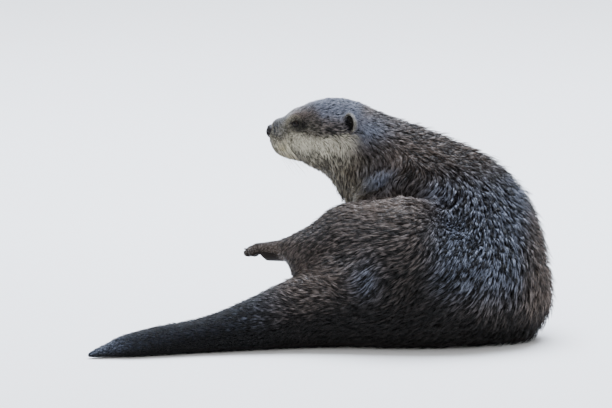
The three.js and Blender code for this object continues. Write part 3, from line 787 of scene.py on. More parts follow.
def fillFace(skinMesh):
    # the muzzle comes forward to hold the nose, the forehead fills, and brow and cheek rise round each eye
    places, normals = readPlaces(skinMesh), readNormals(skinMesh)
    head = toHead(places)
    face = onHead(head) & (head[:, 0] > -6)
    facing = normals @ headAxes.T
    nose = np.linalg.norm((head - np.array([55.5, 0, 1.0])) / np.array([11, 12.5, 9.5]), axis=1)
    forward = muzzleLook["forward"] * smoothStep(nose, 1.0, 0.35) * smoothStep(facing[:, 0], -0.1, 0.4)
    rise = muzzleLook["bridge"] * bloom(head, (53, 0, 8), (7, 8, 7)) * smoothStep(facing[:, 2], -0.1, 0.4)
    brow = bloom(head, (15, 0, 32), (16, 20, 12)) * smoothStep(facing[:, 2], 0.2, 0.7)
    rise += muzzleLook["forehead"] * brow
    out, broad, high = lidLook["socket"]
    eyeGap = np.linalg.norm(sideways(head) - np.array(eye["at"]), axis=1)
    swell = high * np.exp(-((eyeGap - out) / broad) ** 2)
    move = normals * swell[:, None] + headAxes[0] * forward[:, None] + headAxes[2] * rise[:, None]
    places += move * (face * mm)[:, None]
    writePlaces(skinMesh, places)


def growEarsAndLids(skinMesh):
    # cups and lids are drawn out as closed shells and joined to the skin
    shell = bmesh.new()
    for side in (1, -1):
        drawn = drawRings(shell, lidLook["rows"], lidLook["points"], lidPoint(side))
        bmesh.ops.bridge_loops(shell, edges=drawn[0][1] + drawn[-1][1])
        drawn = drawRings(shell, earLook["rows"], earLook["points"], earPoint(side))
        closePole(shell, drawn[0][0])
        closePole(shell, drawn[-1][0])
    faceOutwards(shell)
    shellMesh = meshFrom(shell, "earsAndLids")
    shells, body = placeObject("earsAndLids", shellMesh), placeObject("body", skinMesh)
    join = body.modifiers.new("join", "BOOLEAN")
    join.operation = "UNION"
    join.solver = "EXACT"
    join.object = shells
    joined = finishedMesh(body)
    for item in (shells, body):
        bpy.data.objects.remove(item)
    for mesh in (shellMesh, skinMesh):
        bpy.data.meshes.remove(mesh)
    surface = openMesh(joined)
    bmesh.ops.triangulate(surface, faces=[face for face in surface.faces if len(face.verts) > 4])
    closeMesh(surface, joined)
    return joined


def whiskerSeeds():
    for x0, x1, z0, z1, count in whiskerRows:
        for i in range(count):
            t = i / (count - 1)
            yield x0 + (x1 - x0) * t, z0 + (z1 - z0) * t


def sculptFace(skinMesh):
    places, normals = readPlaces(skinMesh), readNormals(skinMesh)
    head = toHead(places)
    face = np.flatnonzero(onHead(head) & (head[:, 0] > 10))
    spot = head[face]
    mirrored = np.sign(spot[:, 1])
    mirrored[mirrored == 0] = 1
    spot[:, 1] *= mirrored
    facing = normals[face] @ headAxes.T
    facing[:, 1] *= mirrored
    push = np.zeros(len(face))
    for width, depth, rise, path in faceFolds.values():
        gap = lineGap(spot, path, facing)
        push += rise * np.exp(-((gap - 2.1 * width) / (1.3 * width)) ** 2)
        push -= (depth + rise * 0.1) * np.exp(-(gap / width) ** 2)
    for x, z in whiskerSeeds():
        gap = np.hypot(spot[:, 0] - x, spot[:, 2] - z)
        pit = np.where(spot[:, 1] > 5, gap, np.inf)
        push += 0.28 * np.exp(-((pit - 0.9) / 0.5) ** 2) - 0.3 * np.exp(-(pit / 0.5) ** 2)
    places[face] += normals[face] * (push * mm)[:, None]
    writePlaces(skinMesh, places)


footLook = {
    # the raised foot's palm: from and to along the foot, its level below the middle, and its half width
    "palm": (21.0, 51.0, -12.0, 15.0),
    # bumps under each foot: along and across as shares of its length and half width, reach and rise in mm
    "pads": ((0.40, 0.0, 11.0, 4.6), (0.52, 0.55, 6.5, 1.6), (0.52, -0.55, 6.5, 1.6), (0.16, 0.0, 9.0, 2.0)),
    "toePad": (5.0, 3.2),
    "webGroove": (1.3, 1.1),
}


bodyFolds = {   # half width and depth in mm, below zero for a ridge, and the line it follows
    "shoulderRidge": (3.6, -3.2, shoulderFold["ridge"]),
    "shoulderHollow": (4.0, 3.6, shoulderFold["hollow"]),
}


def sculptBody(skinMesh):
    places, normals = readPlaces(skinMesh), readNormals(skinMesh)
    push = np.zeros(len(places))
    for width, depth, path in bodyFolds.values():
        push -= depth * np.exp(-(lineGap(places / mm, path) / width) ** 2)
    writePlaces(skinMesh, places + normals * (push * mm)[:, None])


def sculptFeet(skinMesh):
    places, normals = readPlaces(skinMesh), readNormals(skinMesh)
    push = np.zeros(len(places))
    for name, (_, _, _, length, wide) in footShapes.items():
        at, axes = footAxes(name)
        local = (places / mm - at) @ axes.T
        u, v, w = local.T
        down = smoothStep(normals @ axes[2], 0.25, -0.5) * (np.abs(v) < wide * 2) * (w > -26) * (w < 8)
        onFloor = 0.3 if name != "hindLeft" else 1.0     # the standing feet are pressed flat
        for along, across, reach, rise in footLook["pads"]:
            gap = np.hypot(u - along * length, (v - across * wide) * 0.9)
            push += onFloor * rise * down * np.exp(-(gap / reach) ** 2)
        tips = np.array(list(toeTips(name)))
        reach, rise = footLook["toePad"]
        for tip in tips:
            push += onFloor * rise * down * np.exp(-(np.linalg.norm(local - tip, axis=1) / reach) ** 4)
        onTop = smoothStep(normals @ axes[2], -0.2, 0.4) * (w > -8) * (w < 12)
        width, depth = footLook["webGroove"]
        for a, b in zip(tips[:-1], tips[1:]):
            crease = (a[1] + b[1]) / 2 * np.clip(u / length, 0.3, 1.1)
            forward = smoothStep(u, length * 0.5, length * 0.75)
            push -= depth * onTop * forward * np.exp(-((v - crease) / width) ** 2)
    places += normals * (push * mm)[:, None]
    # the raised foot's palm is squared off: level below, steep at its front and at the heel
    start, end, low, half = footLook["palm"]
    at, axes = footAxes("hindLeft")
    u, v, w = ((places / mm - at) @ axes.T).T
    share = smoothStep(u, start - 1.5, start + 1.5) * smoothStep(u, end + 1.2, end - 1.2)
    share *= smoothStep(normals @ axes[2], 0.0, -0.35) * (w > -25)
    share *= smoothStep(np.abs(v), half * 1.5, half * 1.2)
    goal = low * np.sqrt(np.clip(1 - (v / half) ** 2, 0.12, 1))
    places += ((goal - w) * share * mm)[:, None] * axes[2]
    places[:, 2] = np.maximum(places[:, 2], skinLook["lowest"] * mm)
    writePlaces(skinMesh, places)
    surface = openMesh(skinMesh)
    near = smoothStep(u, start - 5, start) * smoothStep(u, end + 3, end)
    near *= (w > -27) * (w < 2) * (np.abs(v) < half * 1.6)
    soft = [surface.verts[i] for i in np.flatnonzero(near > 0.5)]
    for _ in range(3):
        soften(surface, soft)
    closeMesh(surface, skinMesh)


def combed(lie, places, normals):
    # each stroke is drawn in side view and falls across the body on to the skin
    p = places / mm
    steep = np.where(np.abs(normals[:, 1]) < 0.3, np.where(normals[:, 1] < 0, -0.3, 0.3), normals[:, 1])
    for strokes in combStrokes.values():
        for x, y, z, reach, degrees in strokes:
            flat = np.array([math.cos(math.radians(degrees)), 0, math.sin(math.radians(degrees))])
            way = np.tile(flat, (len(p), 1))
            way[:, 1] = np.clip(-(normals @ flat) / steep, -strokeDrop, strokeDrop)
            share = 0.95 * np.exp(-1.2 * (((p - np.array([x, y, z])) / reach) ** 2).sum(1))[:, None]
            lie = lie * (1 - share) + unit(way) * share
    return lie


def smoothLie(skinMesh, places, normals):
    # lie of the coat at each point of the skin, drooped, combed, laid flat and evened with its neighbours
    lie, _, _, _, droop, _ = readLines(places)
    head = toHead(places)
    cheek = smoothStep(head[:, 0], 46, 30) * smoothStep(head[:, 0], -34, -10) * smoothStep(head[:, 2], 6, -10)
    lie = lie + np.array([0, 0, -1]) * (droop + 0.9 * cheek)[:, None]
    isEar = earParts(head)[0][:, None]
    lie = lie * (1 - isEar) + np.array([0.5, 0, 0.86]) * isEar
    lie = combed(unit(lie), places, normals)

    def laidFlat(lie):
        return unit(lie - normals * (lie * normals).sum(1)[:, None])

    ends = np.empty(len(skinMesh.edges) * 2, np.int32)
    skinMesh.edges.foreach_get("vertices", ends)
    a, b = ends.reshape(-1, 2).T
    count = len(places)
    degree = np.bincount(a, minlength=count) + np.bincount(b, minlength=count)
    for _ in range(skinLook["lieRounds"]):
        lie = laidFlat(lie)
        summed = np.stack([np.bincount(a, lie[b, k], count) + np.bincount(b, lie[a, k], count)
                           for k in range(3)], 1)
        lie = 0.4 * lie + 0.6 * summed / np.maximum(degree, 1)[:, None]
    return laidFlat(lie)


skinMesh = weldFlesh()
smoothSkin(skinMesh)
sinkSkin(skinMesh)
refineFace(skinMesh)
fillFace(skinMesh)
skinMesh = growEarsAndLids(skinMesh)
sculptFace(skinMesh)
sculptFeet(skinMesh)
sculptBody(skinMesh)
skinPlaces, skinNormals = readPlaces(skinMesh), readNormals(skinMesh)
skinLie = smoothLie(skinMesh, skinPlaces, skinNormals)
skinMesh.calc_loop_triangles()
print("skin ready,", len(skinMesh.loop_triangles), "triangles")


# Finishes of skin and hair
hairLook = {
    # the blue-grey colours stand for the painted reflection of the sky on wet fur
    "root": "#040303", "body": "#0c0a09",
    "light": "#2e2b2a", "lightSkyReflection": "#282d37", "tip": "#766c67", "tipSkyReflection": "#7f8799",
    "brown": "#261c16", "brownTip": "#76685e", "paleRoot": "#2b2517", "paleTip": "#d8d2bd",
    "belly": "#3a3026", "bellyTip": "#6c5f49", "shadeAndDarkMarks": "#020202", "sole": "#140d09",
}


def hairColour(tree, along, shade):
    # dark at the root, the hair's own dark base and painted shade deep in the coat, lighter to the tip, with
    # the body's markings and painted light laid over
    tone = calc(tree, "MULTIPLY", shade, ramp(tree, along, 0.0, 0.5, 0.45, 1.0))
    colour = mixColours(tree, ramp(tree, along, 0.0, 0.4), hairLook["root"], hairLook["body"])
    for part, start, end, most in (("light", 0.15, 0.6, 1.0), ("tip", 0.45, 0.9, 0.85)):
        # painted reflection of the sky: the lighter tones turn blue-grey
        hue = mixColours(tree, readMask(tree, "skyReflection"), hairLook[part], hairLook[part + "SkyReflection"])
        colour = mixColours(tree, ramp(tree, tone, start, end, 0.0, most), colour, hue)
    for mask, low, high, most in (("warm", "brown", "brownTip", 0.7), ("belly", "belly", "bellyTip", 0.8),
                                  ("pale", "paleRoot", "paleTip", 0.96)):
        hue = mixColours(tree, ramp(tree, tone, 0.1, 0.8), hairLook[low], hairLook[high])
        colour = mixColours(tree, calc(tree, "MULTIPLY", readMask(tree, mask), most), colour, hue)
    # painted shade, and the dark marks round the eye and nose, go near black
    return mixColours(tree, calc(tree, "MULTIPLY", readMask(tree, "shadeAndDarkMarks"), 0.94), colour, hairLook["shadeAndDarkMarks"])


def wetGuardHair():
    # keratin, wet and combed flat: dark roots, partly painted shade deep in the coat, narrow pale streaks and
    # a soft gloss along each point
    material, tree, shader = startMaterial("keratin guard hair, wet and gathered", 0.34, 1.55, 0.27)
    paint(tree, shader, hairColour(tree, readMask(tree, "along"), readMask(tree, "shade")))
    return material


def wetUnderfur():
    # short dense underfur pressed on skin: near black where the hairs part, painted shade in the gaps of the
    # coat; bare and leathery on the soles
    material, tree, shader = startMaterial("underfur on skin, wet and matted", 0.7, 1.45, 0.1)
    fleck = ramp(tree, grainNoise(tree, 0.9), 0.35, 0.7, 0.3, 0.62)
    colour = hairColour(tree, ramp(tree, readMask(tree, "short"), 0.0, 1.0, 0.25, 0.8), fleck)
    paint(tree, shader, mixColours(tree, readMask(tree, "sole"), colour, hairLook["sole"]))
    addBump(tree, shader, grainNoise(tree, 0.7), 0.25 * mm, 0.6)
    return material


guardHair = wetGuardHair()
underfur = wetUnderfur()

skinMarksAndLight = markingsAndPaintedLight(skinPlaces, skinNormals)
skinLength = hairLength(skinPlaces)
for name, values in skinMarksAndLight.items():
    writeMask(skinMesh, name, values)
writeMask(skinMesh, "short", smoothStep(skinLength, 4.0, 1.2))
skin = newPiece("skin", skinMesh, underfur, "back_coat", fleshNodes)


def unwrapSkin():
    bpy.context.view_layer.objects.active = skin
    skin.select_set(True)
    bpy.ops.object.mode_set(mode="EDIT")
    bpy.ops.mesh.select_all(action="SELECT")
    bpy.ops.uv.smart_project(angle_limit=math.radians(66), island_margin=0.001)
    bpy.ops.object.mode_set(mode="OBJECT")
    skin.select_set(False)
    skinMesh.uv_layers[0].name = "OFBake"


unwrapSkin()
print("skin unwrapped")


# Eyes, nose, claws and whiskers
eyeLook = {"corneaFrom": 34.0, "bulge": 0.35, "pupil": 14.0, "iris": 33.0}    # degrees from the axis, and mm


def corneaOnIris():
    # a wet clear dome over a dark iris: near black, one hard highlight, a brown ring only close to
    material, tree, shader = startMaterial("cornea over dark iris, wet", 0.04, 1.376, 0.2)
    polar = readMask(tree, "polar")
    colour = mixColours(tree, ramp(tree, polar, eyeLook["pupil"], eyeLook["pupil"] + 3), "#010101", "#120a06")
    colour = mixColours(tree, ramp(tree, polar, eyeLook["iris"] - 3, eyeLook["iris"] + 2), colour, "#080504")
    colour = mixColours(tree, ramp(tree, polar, eyeLook["iris"] + 8, eyeLook["iris"] + 16), colour, "#0b0807")
    paint(tree, shader, colour)
    return material


def buildEyes():
    material = corneaOnIris()
    for side, name in ((1, "eyeball_left"), (-1, "eyeball_right")):
        out, ahead, up = eyeAxes(side)
        middle = np.array(eye["at"]) * [1, side, 1]
        ball = bmesh.new()
        bmesh.ops.create_uvsphere(ball, u_segments=40, v_segments=30, radius=1.0)
        polars = []
        for corner in ball.verts:
            way = corner.co.normalized()
            polar = math.degrees(way.angle(Vector((0, 0, 1))))
            dome = math.cos(math.radians(90 * min(polar / eyeLook["corneaFrom"], 1))) ** 0.5
            way = ahead * way.x + up * way.y + out * way.z
            place = middle + way * (eye["radius"] + eyeLook["bulge"] * dome)
            corner.co = Vector(fromHead(*place))
            polars.append(polar)
        faceOutwards(ball)
        piece = newPiece(name, ball, material, "eye", [name.replace("ball", "")])
        writeMask(piece.data, "polar", np.array(polars))


noseLook = {
    "at": (58.6, 0.0, 1.5), "half": (6.3, 8.6, 7.0),
    "footShare": 0.68,                                          # how broad the pad is at its foot
    "nostril": (3.4, 4.6, -0.4), "nostrilReach": 1.75, "nostrilDepth": 2.9,
    "slit": (0.8, 8.2, -1.6), "slitReach": 0.85, "slitDepth": 1.6,
    "cleftHalf": 0.7, "cleftDepth": 0.8,
}


def noseLeather():
    # bare hairless skin in a fine cobble, dark and damp, so its top takes a soft grey shine; near black
    # painted shade in the nostrils and their slits
    material, tree, shader = startMaterial("nose leather, bare and damp", 0.46, 1.45, 0.24)
    place = addNode(tree, "TexCoord").outputs["Object"]
    cobble = addNode(tree, "TexVoronoi", {"Scale": 1 / (0.7 * mm)}, {"Vector": place}).outputs["Distance"]
    colour = mixColours(tree, ramp(tree, grainNoise(tree, 2.0), 0.35, 0.7), "#0c090a", "#1b1718")
    # painted shade: near black in the nostrils and slits
    paint(tree, shader, mixColours(tree, readMask(tree, "pit"), colour, "#020101"))
    addBump(tree, shader, cobble, 0.18 * mm, 0.8)
    return material


def buildNose():
    look = noseLook
    pad = bmesh.new()
    bmesh.ops.create_uvsphere(pad, u_segments=64, v_segments=48, radius=1.0)
    nostril, slit = np.array(look["nostril"]), np.array(look["slit"])
    ball = np.array([corner.co for corner in pad.verts])
    narrow = look["footShare"] + (1 - look["footShare"]) * smoothStep(ball[:, 2], -0.9, 0.5)
    spot = ball * look["half"]
    spot[:, 1] *= narrow
    spot[:, 0] -= 0.9 * smoothStep(ball[:, 0], 0.6, 1.0)        # flat front
    sided = sideways(spot)
    pit = np.exp(-(np.linalg.norm((sided - nostril) * [0.6, 1, 1.1], axis=1) / look["nostrilReach"]) ** 4)
    groove = np.exp(-(lineGap(sided, [nostril, slit]) / look["slitReach"]) ** 2)
    cleft = np.exp(-(spot[:, 1] / look["cleftHalf"]) ** 2) * (spot[:, 0] > 0)
    cleft *= smoothStep(spot[:, 2], 1.5, -2)
    wing = np.exp(-((np.linalg.norm(sided - nostril, axis=1) - 2.9) / 0.9) ** 2) * (spot[:, 0] > -1)
    push = look["nostrilDepth"] * pit + look["slitDepth"] * groove * (1 - pit)
    push += look["cleftDepth"] * cleft - 0.45 * wing
    spot -= unit(spot + np.array([4.0, 0, 0])) * push[:, None]
    for corner, place in zip(pad.verts, spot + np.array(look["at"])):
        corner.co = Vector(fromHead(*place))
    faceOutwards(pad)
    piece = newPiece("nose", pad, noseLeather(), "nose_skin", ["nose_pad"])
    # the pit mask marks the nostrils and slits for their painted shade
    writeMask(piece.data, "pit", np.maximum(smoothStep(pit, 0.25, 0.8), 0.8 * groove))


clawLook = {
    # share of the radius, and mm ahead
    "rows": ((0.1, -1.8), (0.95, -1.5), (1.0, -0.3), (0.85, 0.5), (0.55, 1.1), (0.2, 1.4)),
    "radius": 0.85, "points": 10, "over": 2.0,      # how far above the toe's middle it stands
}


def buildClaws():
    # short blunt pegs, one on each toe
    shell = bmesh.new()
    for name in footShapes:
        at, axes = footAxes(name)
        for u, v, w in toeTips(name):
            root = np.array([u + toeRadius[name[:4]] * 0.8, v, w + clawLook["over"]])

            def placeAt(row, turn):
                share, ahead = row
                c, s = math.cos(turn * math.tau), math.sin(turn * math.tau)
                reach = share * clawLook["radius"]
                across = np.array([ahead, reach * c, reach * s - 0.1 * ahead ** 2])
                return Vector((at + (root + across) @ axes) * mm)

            drawn = drawRings(shell, clawLook["rows"], clawLook["points"], placeAt)
            closePole(shell, drawn[0][0])
            closePole(shell, drawn[-1][0])
    faceOutwards(shell)
    material, tree, shader = startMaterial("claw keratin, grown and worn", 0.4, 1.55)
    # dull horn, a little darker in its streaks
    paint(tree, shader, mixColours(tree, ramp(tree, grainNoise(tree, 0.8), 0.3, 0.7), "#2c2521", "#57493e"))
    newPiece("claws", shell, material, "foot_skin")


whiskerLook = {
    "rootRadius": 0.25, "tipRadius": 0.04, "steps": 8,
    "length": (19.0, 33.0),
    "way": (-0.48, 0.42, -0.78), "bend": (-0.16, -0.16, -0.14), "spread": 0.24,
}


def buildWhiskers():
    look = whiskerLook
    curve = bpy.data.curves.new("whiskers", "CURVE")
    curve.dimensions = "3D"
    curve.bevel_depth = mm
    curve.bevel_resolution = 1
    curve.use_fill_caps = True
    face = toHead(skinPlaces)
    face = face[onHead(face) & (face[:, 0] > 15)]
    hairs = []
    for side in (1, -1):
        half = face[face[:, 1] * side > 3]
        for x, z in whiskerSeeds():
            spot = half[np.argmin(np.hypot(half[:, 0] - x, half[:, 2] - z))]
            low, high = look["length"]
            share = np.clip((-z - 1) / 11, 0, 1) * 0.5 + 0.5 * dice.random()
            way = np.array(look["way"]) + (dice.random(3) - 0.5) * 2 * look["spread"]
            hairs.append((side, spot, way, low + (high - low) * share))
    for side, spot, way, length in hairs:
        line = curve.splines.new("POLY")
        line.points.add(look["steps"] - 1)
        way = unit(way) * [1, side, 1]
        bend = np.array(look["bend"]) * [1, side, 1]
        for k, point in enumerate(line.points):
            t = k / (look["steps"] - 1)
            place = fromHead(*(spot - way * 0.6 + way * length * t + bend * length * t * t))
            point.co = (*place, 1)
            point.radius = look["rootRadius"] + (look["tipRadius"] - look["rootRadius"]) * t
    drawn = placeObject("whiskerCurves", curve)
    mesh = finishedMesh(drawn)
    bpy.data.objects.remove(drawn)
    bpy.data.curves.remove(curve)
    material, tree, shader = startMaterial("whisker keratin, stiff and clear", 0.32, 1.55)
    # straw-coloured and slightly glossy, paler where the noise thins it
    paint(tree, shader, mixColours(tree, ramp(tree, grainNoise(tree, 6.0), 0.3, 0.7), "#b5ab8b", "#e6dfc8"))
    newPiece("whiskers", mesh, material, "crown_coat")
    return len(hairs)


buildEyes()
buildNose()
buildClaws()
print("eyes, nose and claws ready,", buildWhiskers(), "whiskers")


# The coat: solid tufts in joined meshes
coatLook = {
    "widthAtOne": 0.23, "widthPower": 0.50,     # a tuft's width in mm from its length
    "thickness": 0.42,                          # of its width
    "profile": {1: ((0.0, 0.9),), 2: ((0.0, 0.85), (0.5, 1.0))},    # where each ring is, and its width
    "layers": (0.68, 0.275),                    # how often tufts cover each place: at no length, more per mm
    "bury": 0.35,
    "perLock": 2.6,
    "strayTurn": 0.16, "lockTurn": 0.10,        # radians
    "patch": 0.003,                             # a tuft's side on the bake map
    "mingle": 2.2,                              # mm
    "regions": {    # lines it takes in, fullness, rings in each tuft, pieces, slot
        "face": (("head",), 2.3, 1, 1, "crown_coat"),
        "crown": (("head",), 1.6, 2, 1, "crown_coat"),
        "throat": (("neck",), 1.5, 2, 1, "throat_coat"),
        "back": (("trunk",), 1.5, 2, 4, "back_coat"),
        "haunch": (("haunchLeft", "shankLeft"), 1.25, 2, 1, "leg_coat"),
        "tail": (("tail",), 0.95, 2, 2, "tail_coat"),
        "legs": (("hindRight", "foreLeft", "foreRight"), 0.6, 2, 1, "leg_coat"),
        "feet": (("shankLeft", "hindRight", "foreLeft", "foreRight"), 0.8, 1, 1, "leg_coat"),
    },
    "faceFrom": 8.0,                            # the face begins here in the head's x
    "footLength": 3.2,                          # hair shorter than this on a leg is the foot's
}


def readTriangles(mesh):
    mesh.calc_loop_triangles()
    corners = np.empty(len(mesh.loop_triangles) * 3, np.int32)
    loops = np.empty(len(mesh.loop_triangles) * 3, np.int32)
    mesh.loop_triangles.foreach_get("vertices", corners)
    mesh.loop_triangles.foreach_get("loops", loops)
    places = np.empty(len(mesh.loops) * 2)
    mesh.uv_layers["OFBake"].data.foreach_get("uv", places)
    return corners.reshape(-1, 3), places.reshape(-1, 2)[loops.reshape(-1, 3)]


def pickRoots(weights, count):
    # as many roots as asked, spread evenly over the weighted triangles
    edges = np.cumsum(weights) * (count / weights.sum())
    chosen = np.searchsorted(edges, np.arange(count) + dice.random(count) * 0.9)
    return np.minimum(chosen, len(weights) - 1)


def layDown(tree, places, triangleNormals, triangleLies):
    # nearest place on the skin, with its normal and lie
    found = np.empty((len(places), 3))
    faces = np.empty(len(places), np.int64)
    for i, place in enumerate(places.tolist()):
        spot, _, face, _ = tree.find_nearest(place)
        found[i] = spot
        faces[i] = face
    return found, triangleNormals[faces], triangleLies[faces]


def nearestOf(centres, places):
    finder = kdtree.KDTree(len(centres))
    for i, place in enumerate(centres.tolist()):
        finder.insert(place, i)
    finder.balance()
    return np.array([finder.find(place)[1] for place in places.tolist()])


def turned(lie, normal, angle):
    across = np.cross(normal, lie)
    return lie * np.cos(angle)[:, None] + across * np.sin(angle)[:, None]


def shadeOf(root, lock, lockDraw, ownDraw):
    # how light each tuft is: wet locks differ as wholes, flat coat hair by hair, and a painted highlight
    # lightens it where light falls
    whole = 0.36 + 0.4 * lock
    shade = whole * smoothStep(lockDraw, 0.2, 0.95) + (1 - whole) * ownDraw
    head = toHead(root)
    p = root / mm
    crownFrom = np.interp(head[:, 0], [8, 18], [9, 19])
    crown = smoothStep(head[:, 2], crownFrom, crownFrom + 12) * onHead(head)
    tail = smoothStep(p[:, 0], -110, -190)
    cheek = smoothStep(head[:, 2], 6, 0) * smoothStep(head[:, 2], -16, -7) * onHead(head)
    muzzle = smoothStep(head[:, 0], 30, 42) * smoothStep(head[:, 2], 6, 0) * onHead(head)
    ridge = np.exp(-(lineGap(p, shoulderFold["ridge"]) / 5.5) ** 2)
    # painted highlight: tufts lightened where light falls, in these blooms and on the crown, the shoulder's
    # ridge, the cheeks and the tail's tip; the muzzle dimmed
    paintedSheen = blooms(p, bodyBlooms["paintedSheen"]) + blooms(sideways(head), headBlooms["paintedSheen"])
    paintedSheen += 0.54 * crown + 0.7 * ridge + 0.3 * cheek - 0.3 * muzzle + 0.36 * smoothStep(p[:, 0], -270, -300)
    # the tail is evener than the rest; crown, ridge, muzzle and haunch vary more from tuft to tuft
    spread = 1 - 0.45 * tail + 0.7 * crown + 0.6 * ridge + 0.8 * muzzle
    spread += 0.4 * bloom(p, (20, -30, 100), (80, 60, 60))
    return (shade - 0.5) * spread + 0.5 + paintedSheen - 0.2 * tail


def regionsOf(owner, length, head):
    lineNames = list(hairLines)
    isFace = head[:, 0] > coatLook["faceFrom"]
    isFoot = length < coatLook["footLength"]
    for region, (lines, *_) in coatLook["regions"].items():
        held = np.isin(owner, [lineNames.index(line) for line in lines])
        if region in ("face", "crown"):
            held &= isFace == (region == "face")
        if "shankLeft" in lines or region == "legs":
            held &= isFoot == (region == "feet")
        yield region, held


def planCoat():
    corners, cornerMaps = readTriangles(skinMesh)
    a, b, c = (skinPlaces[corners[:, k]] for k in range(3))
    area = np.linalg.norm(np.cross(b - a, c - a), axis=1) / 2 / mm ** 2
    centre = (a + b + c) / 3
    triangleNormals = unit(skinNormals[corners].mean(1))
    triangleLies = unit(skinLie[corners].mean(1))
    shares = readLines(centre)[5]
    length = skinLength[corners].mean(1)
    width = coatLook["widthAtOne"] * length ** coatLook["widthPower"]
    base, more = coatLook["layers"]
    density = (base + more * length) / (width * length)
    density[(centre[:, 2] < 1.2 * mm) & (triangleNormals[:, 2] < -0.8)] = 0
    head = toHead(centre)
    onNose = np.linalg.norm((head - np.array([59, 0, 1.5])) / np.array([7.5, 9.4, 7.6]), axis=1) < 1
    # the lids' edges and the hollows of the ears stay bare
    eyeMiddle = np.array(eye["at"])
    towards = unit(sideways(head) - eyeMiddle) @ unit(np.array(eye["axis"]))
    byEye = (np.linalg.norm(sideways(head) - eyeMiddle, axis=1) < 6.6) & (towards > 0.78)
    density[onNose | byEye] = 0
    density *= 1 - np.maximum(skinMarksAndLight["sole"][corners].mean(1), 0.93 * earParts(head)[1])
    owner = np.argmax(shares, 0)
    picks, regionOf = [], []
    for number, (region, held) in enumerate(regionsOf(owner, length, head)):
        weights = area * density * held * coatLook["regions"][region][1]
        count = int(weights.sum())
        picks.append(pickRoots(weights, count))
        regionOf.append(np.full(count, number))
    pick, regionOf = np.concatenate(picks), np.concatenate(regionOf)
    share = dice.random((len(pick), 2))
    share[share.sum(1) > 1] = 1 - share[share.sum(1) > 1]
    share = np.column_stack([1 - share.sum(1), share])
    root = np.einsum("nk,nkj->nj", share, skinPlaces[corners[pick]])
    normal = unit(np.einsum("nk,nkj->nj", share, skinNormals[corners[pick]]))
    lie = unit(np.einsum("nk,nkj->nj", share, skinLie[corners[pick]]))
    mapPlace = np.einsum("nk,nkj->nj", share, cornerMaps[pick])
    _, _, lock, lift, _, _ = readLines(root)
    length = hairLength(root)

    # locks: each tuft belongs to the nearest of a scatter of lock roots
    lockCount = int(len(root) / coatLook["perLock"])
    lockRoot = dice.permutation(len(root))[:lockCount]
    lockOf = nearestOf(root[lockRoot], root)
    lockDraw = dice.random((lockCount, 3))
    ownDraw = dice.random((len(root), 4))
    lie = turned(lie, normal, (ownDraw[:, 0] - 0.5) * 2 * coatLook["strayTurn"]
                 + (lockDraw[lockOf, 0] - 0.5) * 2 * coatLook["lockTurn"])
    length = length * (0.88 + 0.38 * ownDraw[:, 1]) * (0.86 + 0.26 * lockDraw[lockOf, 1])
    tree = BVHTree.FromPolygons(skinPlaces.tolist(), corners.tolist(), all_triangles=True)
    half = (length * 0.5 * mm)[:, None]
    middle, middleNormal, middleLie = layDown(tree, root + lie * half, triangleNormals, triangleLies)
    middleLie = unit(0.65 * middleLie + 0.35 * lie)
    tip, tipNormal, _ = layDown(tree, middle + middleLie * half, triangleNormals, triangleLies)

    gather = (lock * (0.75 + 0.25 * ownDraw[:, 2]))[:, None]
    keeper = lockRoot[lockOf]
    middle += (middle[keeper] - middle) * gather * 0.42
    tip += (tip[keeper] - tip) * gather * 0.9
    stray = 1 + lock * (1.5 * lockDraw[lockOf, 2] ** 3 - 0.35)      # in rough coat a few locks stand out
    rise = length * lift * mm * (0.7 + 0.5 * lockDraw[lockOf, 2]) * (0.8 + 0.4 * ownDraw[:, 3]) * stray
    # pressed flat where it rests
    rise *= 0.3 + 0.7 * smoothStep(root[:, 2] / mm, 1.0, skinLook["floorClear"])
    shade = np.clip(shadeOf(root, lock, lockDraw[lockOf, 1], dice.random(len(root))), 0, 1)
    return {"root": root, "middle": middle, "tip": tip, "normals": (normal, middleNormal, tipNormal),
            "rise": rise, "length": length, "shade": shade, "map": mapPlace, "region": regionOf}


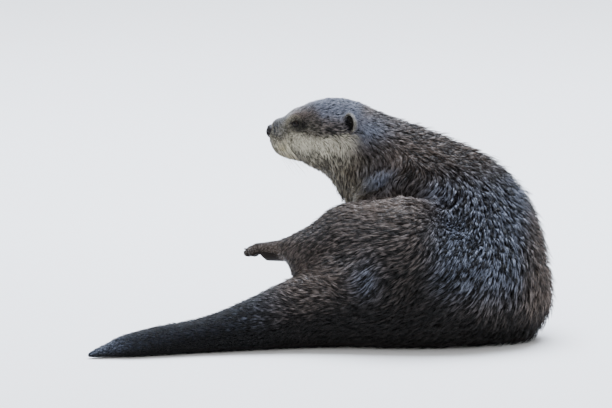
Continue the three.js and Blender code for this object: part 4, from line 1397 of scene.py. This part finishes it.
def tuftMesh(name, plan, chosen, rings):
    root, middle, tip = (plan[key][chosen] for key in ("root", "middle", "tip"))
    n0, n1, n2 = (normals[chosen] for normals in plan["normals"])
    rise, length = plan["rise"][chosen][:, None], plan["length"][chosen]
    width = (coatLook["widthAtOne"] * length ** coatLook["widthPower"] * mm)[:, None]
    count, perTuft = len(chosen), rings * 3 + 1

    def along(s):
        spine = root * (1 - s) * (1 - 2 * s) + middle * 4 * s * (1 - s) + tip * s * (2 * s - 1)
        up = unit(n0 * (1 - s) * max(0, 1 - 2 * s) + n1 * (1 - abs(2 * s - 1)) + n2 * max(0, 2 * s - 1))
        return spine + up * (rise * (1 - (1 - s) ** 1.7)), up

    places = np.empty((count, perTuft, 3))
    ahead = unit(tip - root)
    for ring, (s, share) in enumerate(coatLook["profile"][rings]):
        spine, up = along(s)
        if ring == 0:
            spine = spine - n0 * coatLook["bury"] * mm
        across = unit(np.cross(ahead, up))
        places[:, ring * 3] = spine - across * width * share * 0.5
        places[:, ring * 3 + 1] = spine + across * width * share * 0.5
        places[:, ring * 3 + 2] = spine + up * width * share * coatLook["thickness"]
    places[:, -1] = along(1.0)[0]
    places[:, :, 2] = np.maximum(places[:, :, 2], 0.12 * mm)

    # one tuft's faces: three sides between rings, three to the tip, one cap at the root
    quads, triangles, quadMap, triangleMap = [], [], [], []
    levels = [s for s, _ in coatLook["profile"][rings]] + [1.0]
    for ring in range(rings):
        for side in range(3):
            low, high = ring * 3, ring * 3 + 3
            if ring < rings - 1:
                quads.append((low + (side + 1) % 3, low + side, high + side, high + (side + 1) % 3))
                u0, u1, v0, v1 = side / 3, (side + 1) / 3, levels[ring], levels[ring + 1]
                quadMap.append(((u1, v0), (u0, v0), (u0, v1), (u1, v1)))
            else:
                triangles.append((low + (side + 1) % 3, low + side, perTuft - 1))
                u0, u1, v0 = side / 3, (side + 1) / 3, levels[ring]
                triangleMap.append(((u1, v0), (u0, v0), ((u0 + u1) / 2, 1.0)))
    triangles.append((0, 1, 2))
    triangleMap.append(((0.0, 0.0), (0.3, 0.0), (0.15, 0.1)))
    offsets = (np.arange(count) * perTuft)[:, None]
    loops = np.concatenate([(offsets + np.array(faces, int).reshape(1, -1)).ravel()
                            for faces in (quads, triangles)])
    starts = np.concatenate([np.arange(count * len(quads)) * 4,
                             count * len(quads) * 4 + np.arange(count * len(triangles)) * 3])
    patches = [np.array(m, float).reshape(1, -1, 2) * coatLook["patch"] + plan["map"][chosen][:, None]
               for m in (quadMap, triangleMap)]
    mesh = bpy.data.meshes.new(name)
    mesh.vertices.add(count * perTuft)
    mesh.vertices.foreach_set("co", places.astype(np.float32).ravel())
    mesh.loops.add(len(loops))
    mesh.loops.foreach_set("vertex_index", loops.astype(np.int32))
    mesh.polygons.add(len(starts))
    mesh.polygons.foreach_set("loop_start", starts.astype(np.int32))
    mesh.update(calc_edges=True)
    bakeMap = mesh.uv_layers.new(name="OFBake")
    bakeMap.data.foreach_set("uv", np.concatenate([p.ravel() for p in patches]).astype(np.float32))
    heights = np.repeat([s for s in levels[:-1]], 3).tolist() + [1.0]
    writeMask(mesh, "along", np.tile(heights, count))
    writeMask(mesh, "shade", np.repeat(plan["shade"][chosen], perTuft))
    # borders of the markings and of the painted light mingle
    mixed = root + (dice.random(root.shape) - 0.5) * 2 * coatLook["mingle"] * mm
    for mask, values in markingsAndPaintedLight(mixed, n0).items():
        writeMask(mesh, mask, np.repeat(values, perTuft))
    return mesh


def growCoat():
    plan = planCoat()
    made = 0
    for number, (region, (_, _, rings, pieces, slot)) in enumerate(coatLook["regions"].items()):
        members = np.flatnonzero(plan["region"] == number)
        # pieces follow each other along the body, so that each holds one stretch of coat
        members = members[np.argsort(plan["root"][members, 0])]
        for piece, chosen in enumerate(np.array_split(members, pieces)):
            name = f"coat_{region}" + (f"_{piece + 1}" if pieces > 1 else "")
            mesh = tuftMesh(name, plan, chosen, rings)
            newPiece(name, mesh, guardHair, slot)
            made += len(chosen)
    return made


print("coat ready,", growCoat(), "tufts")
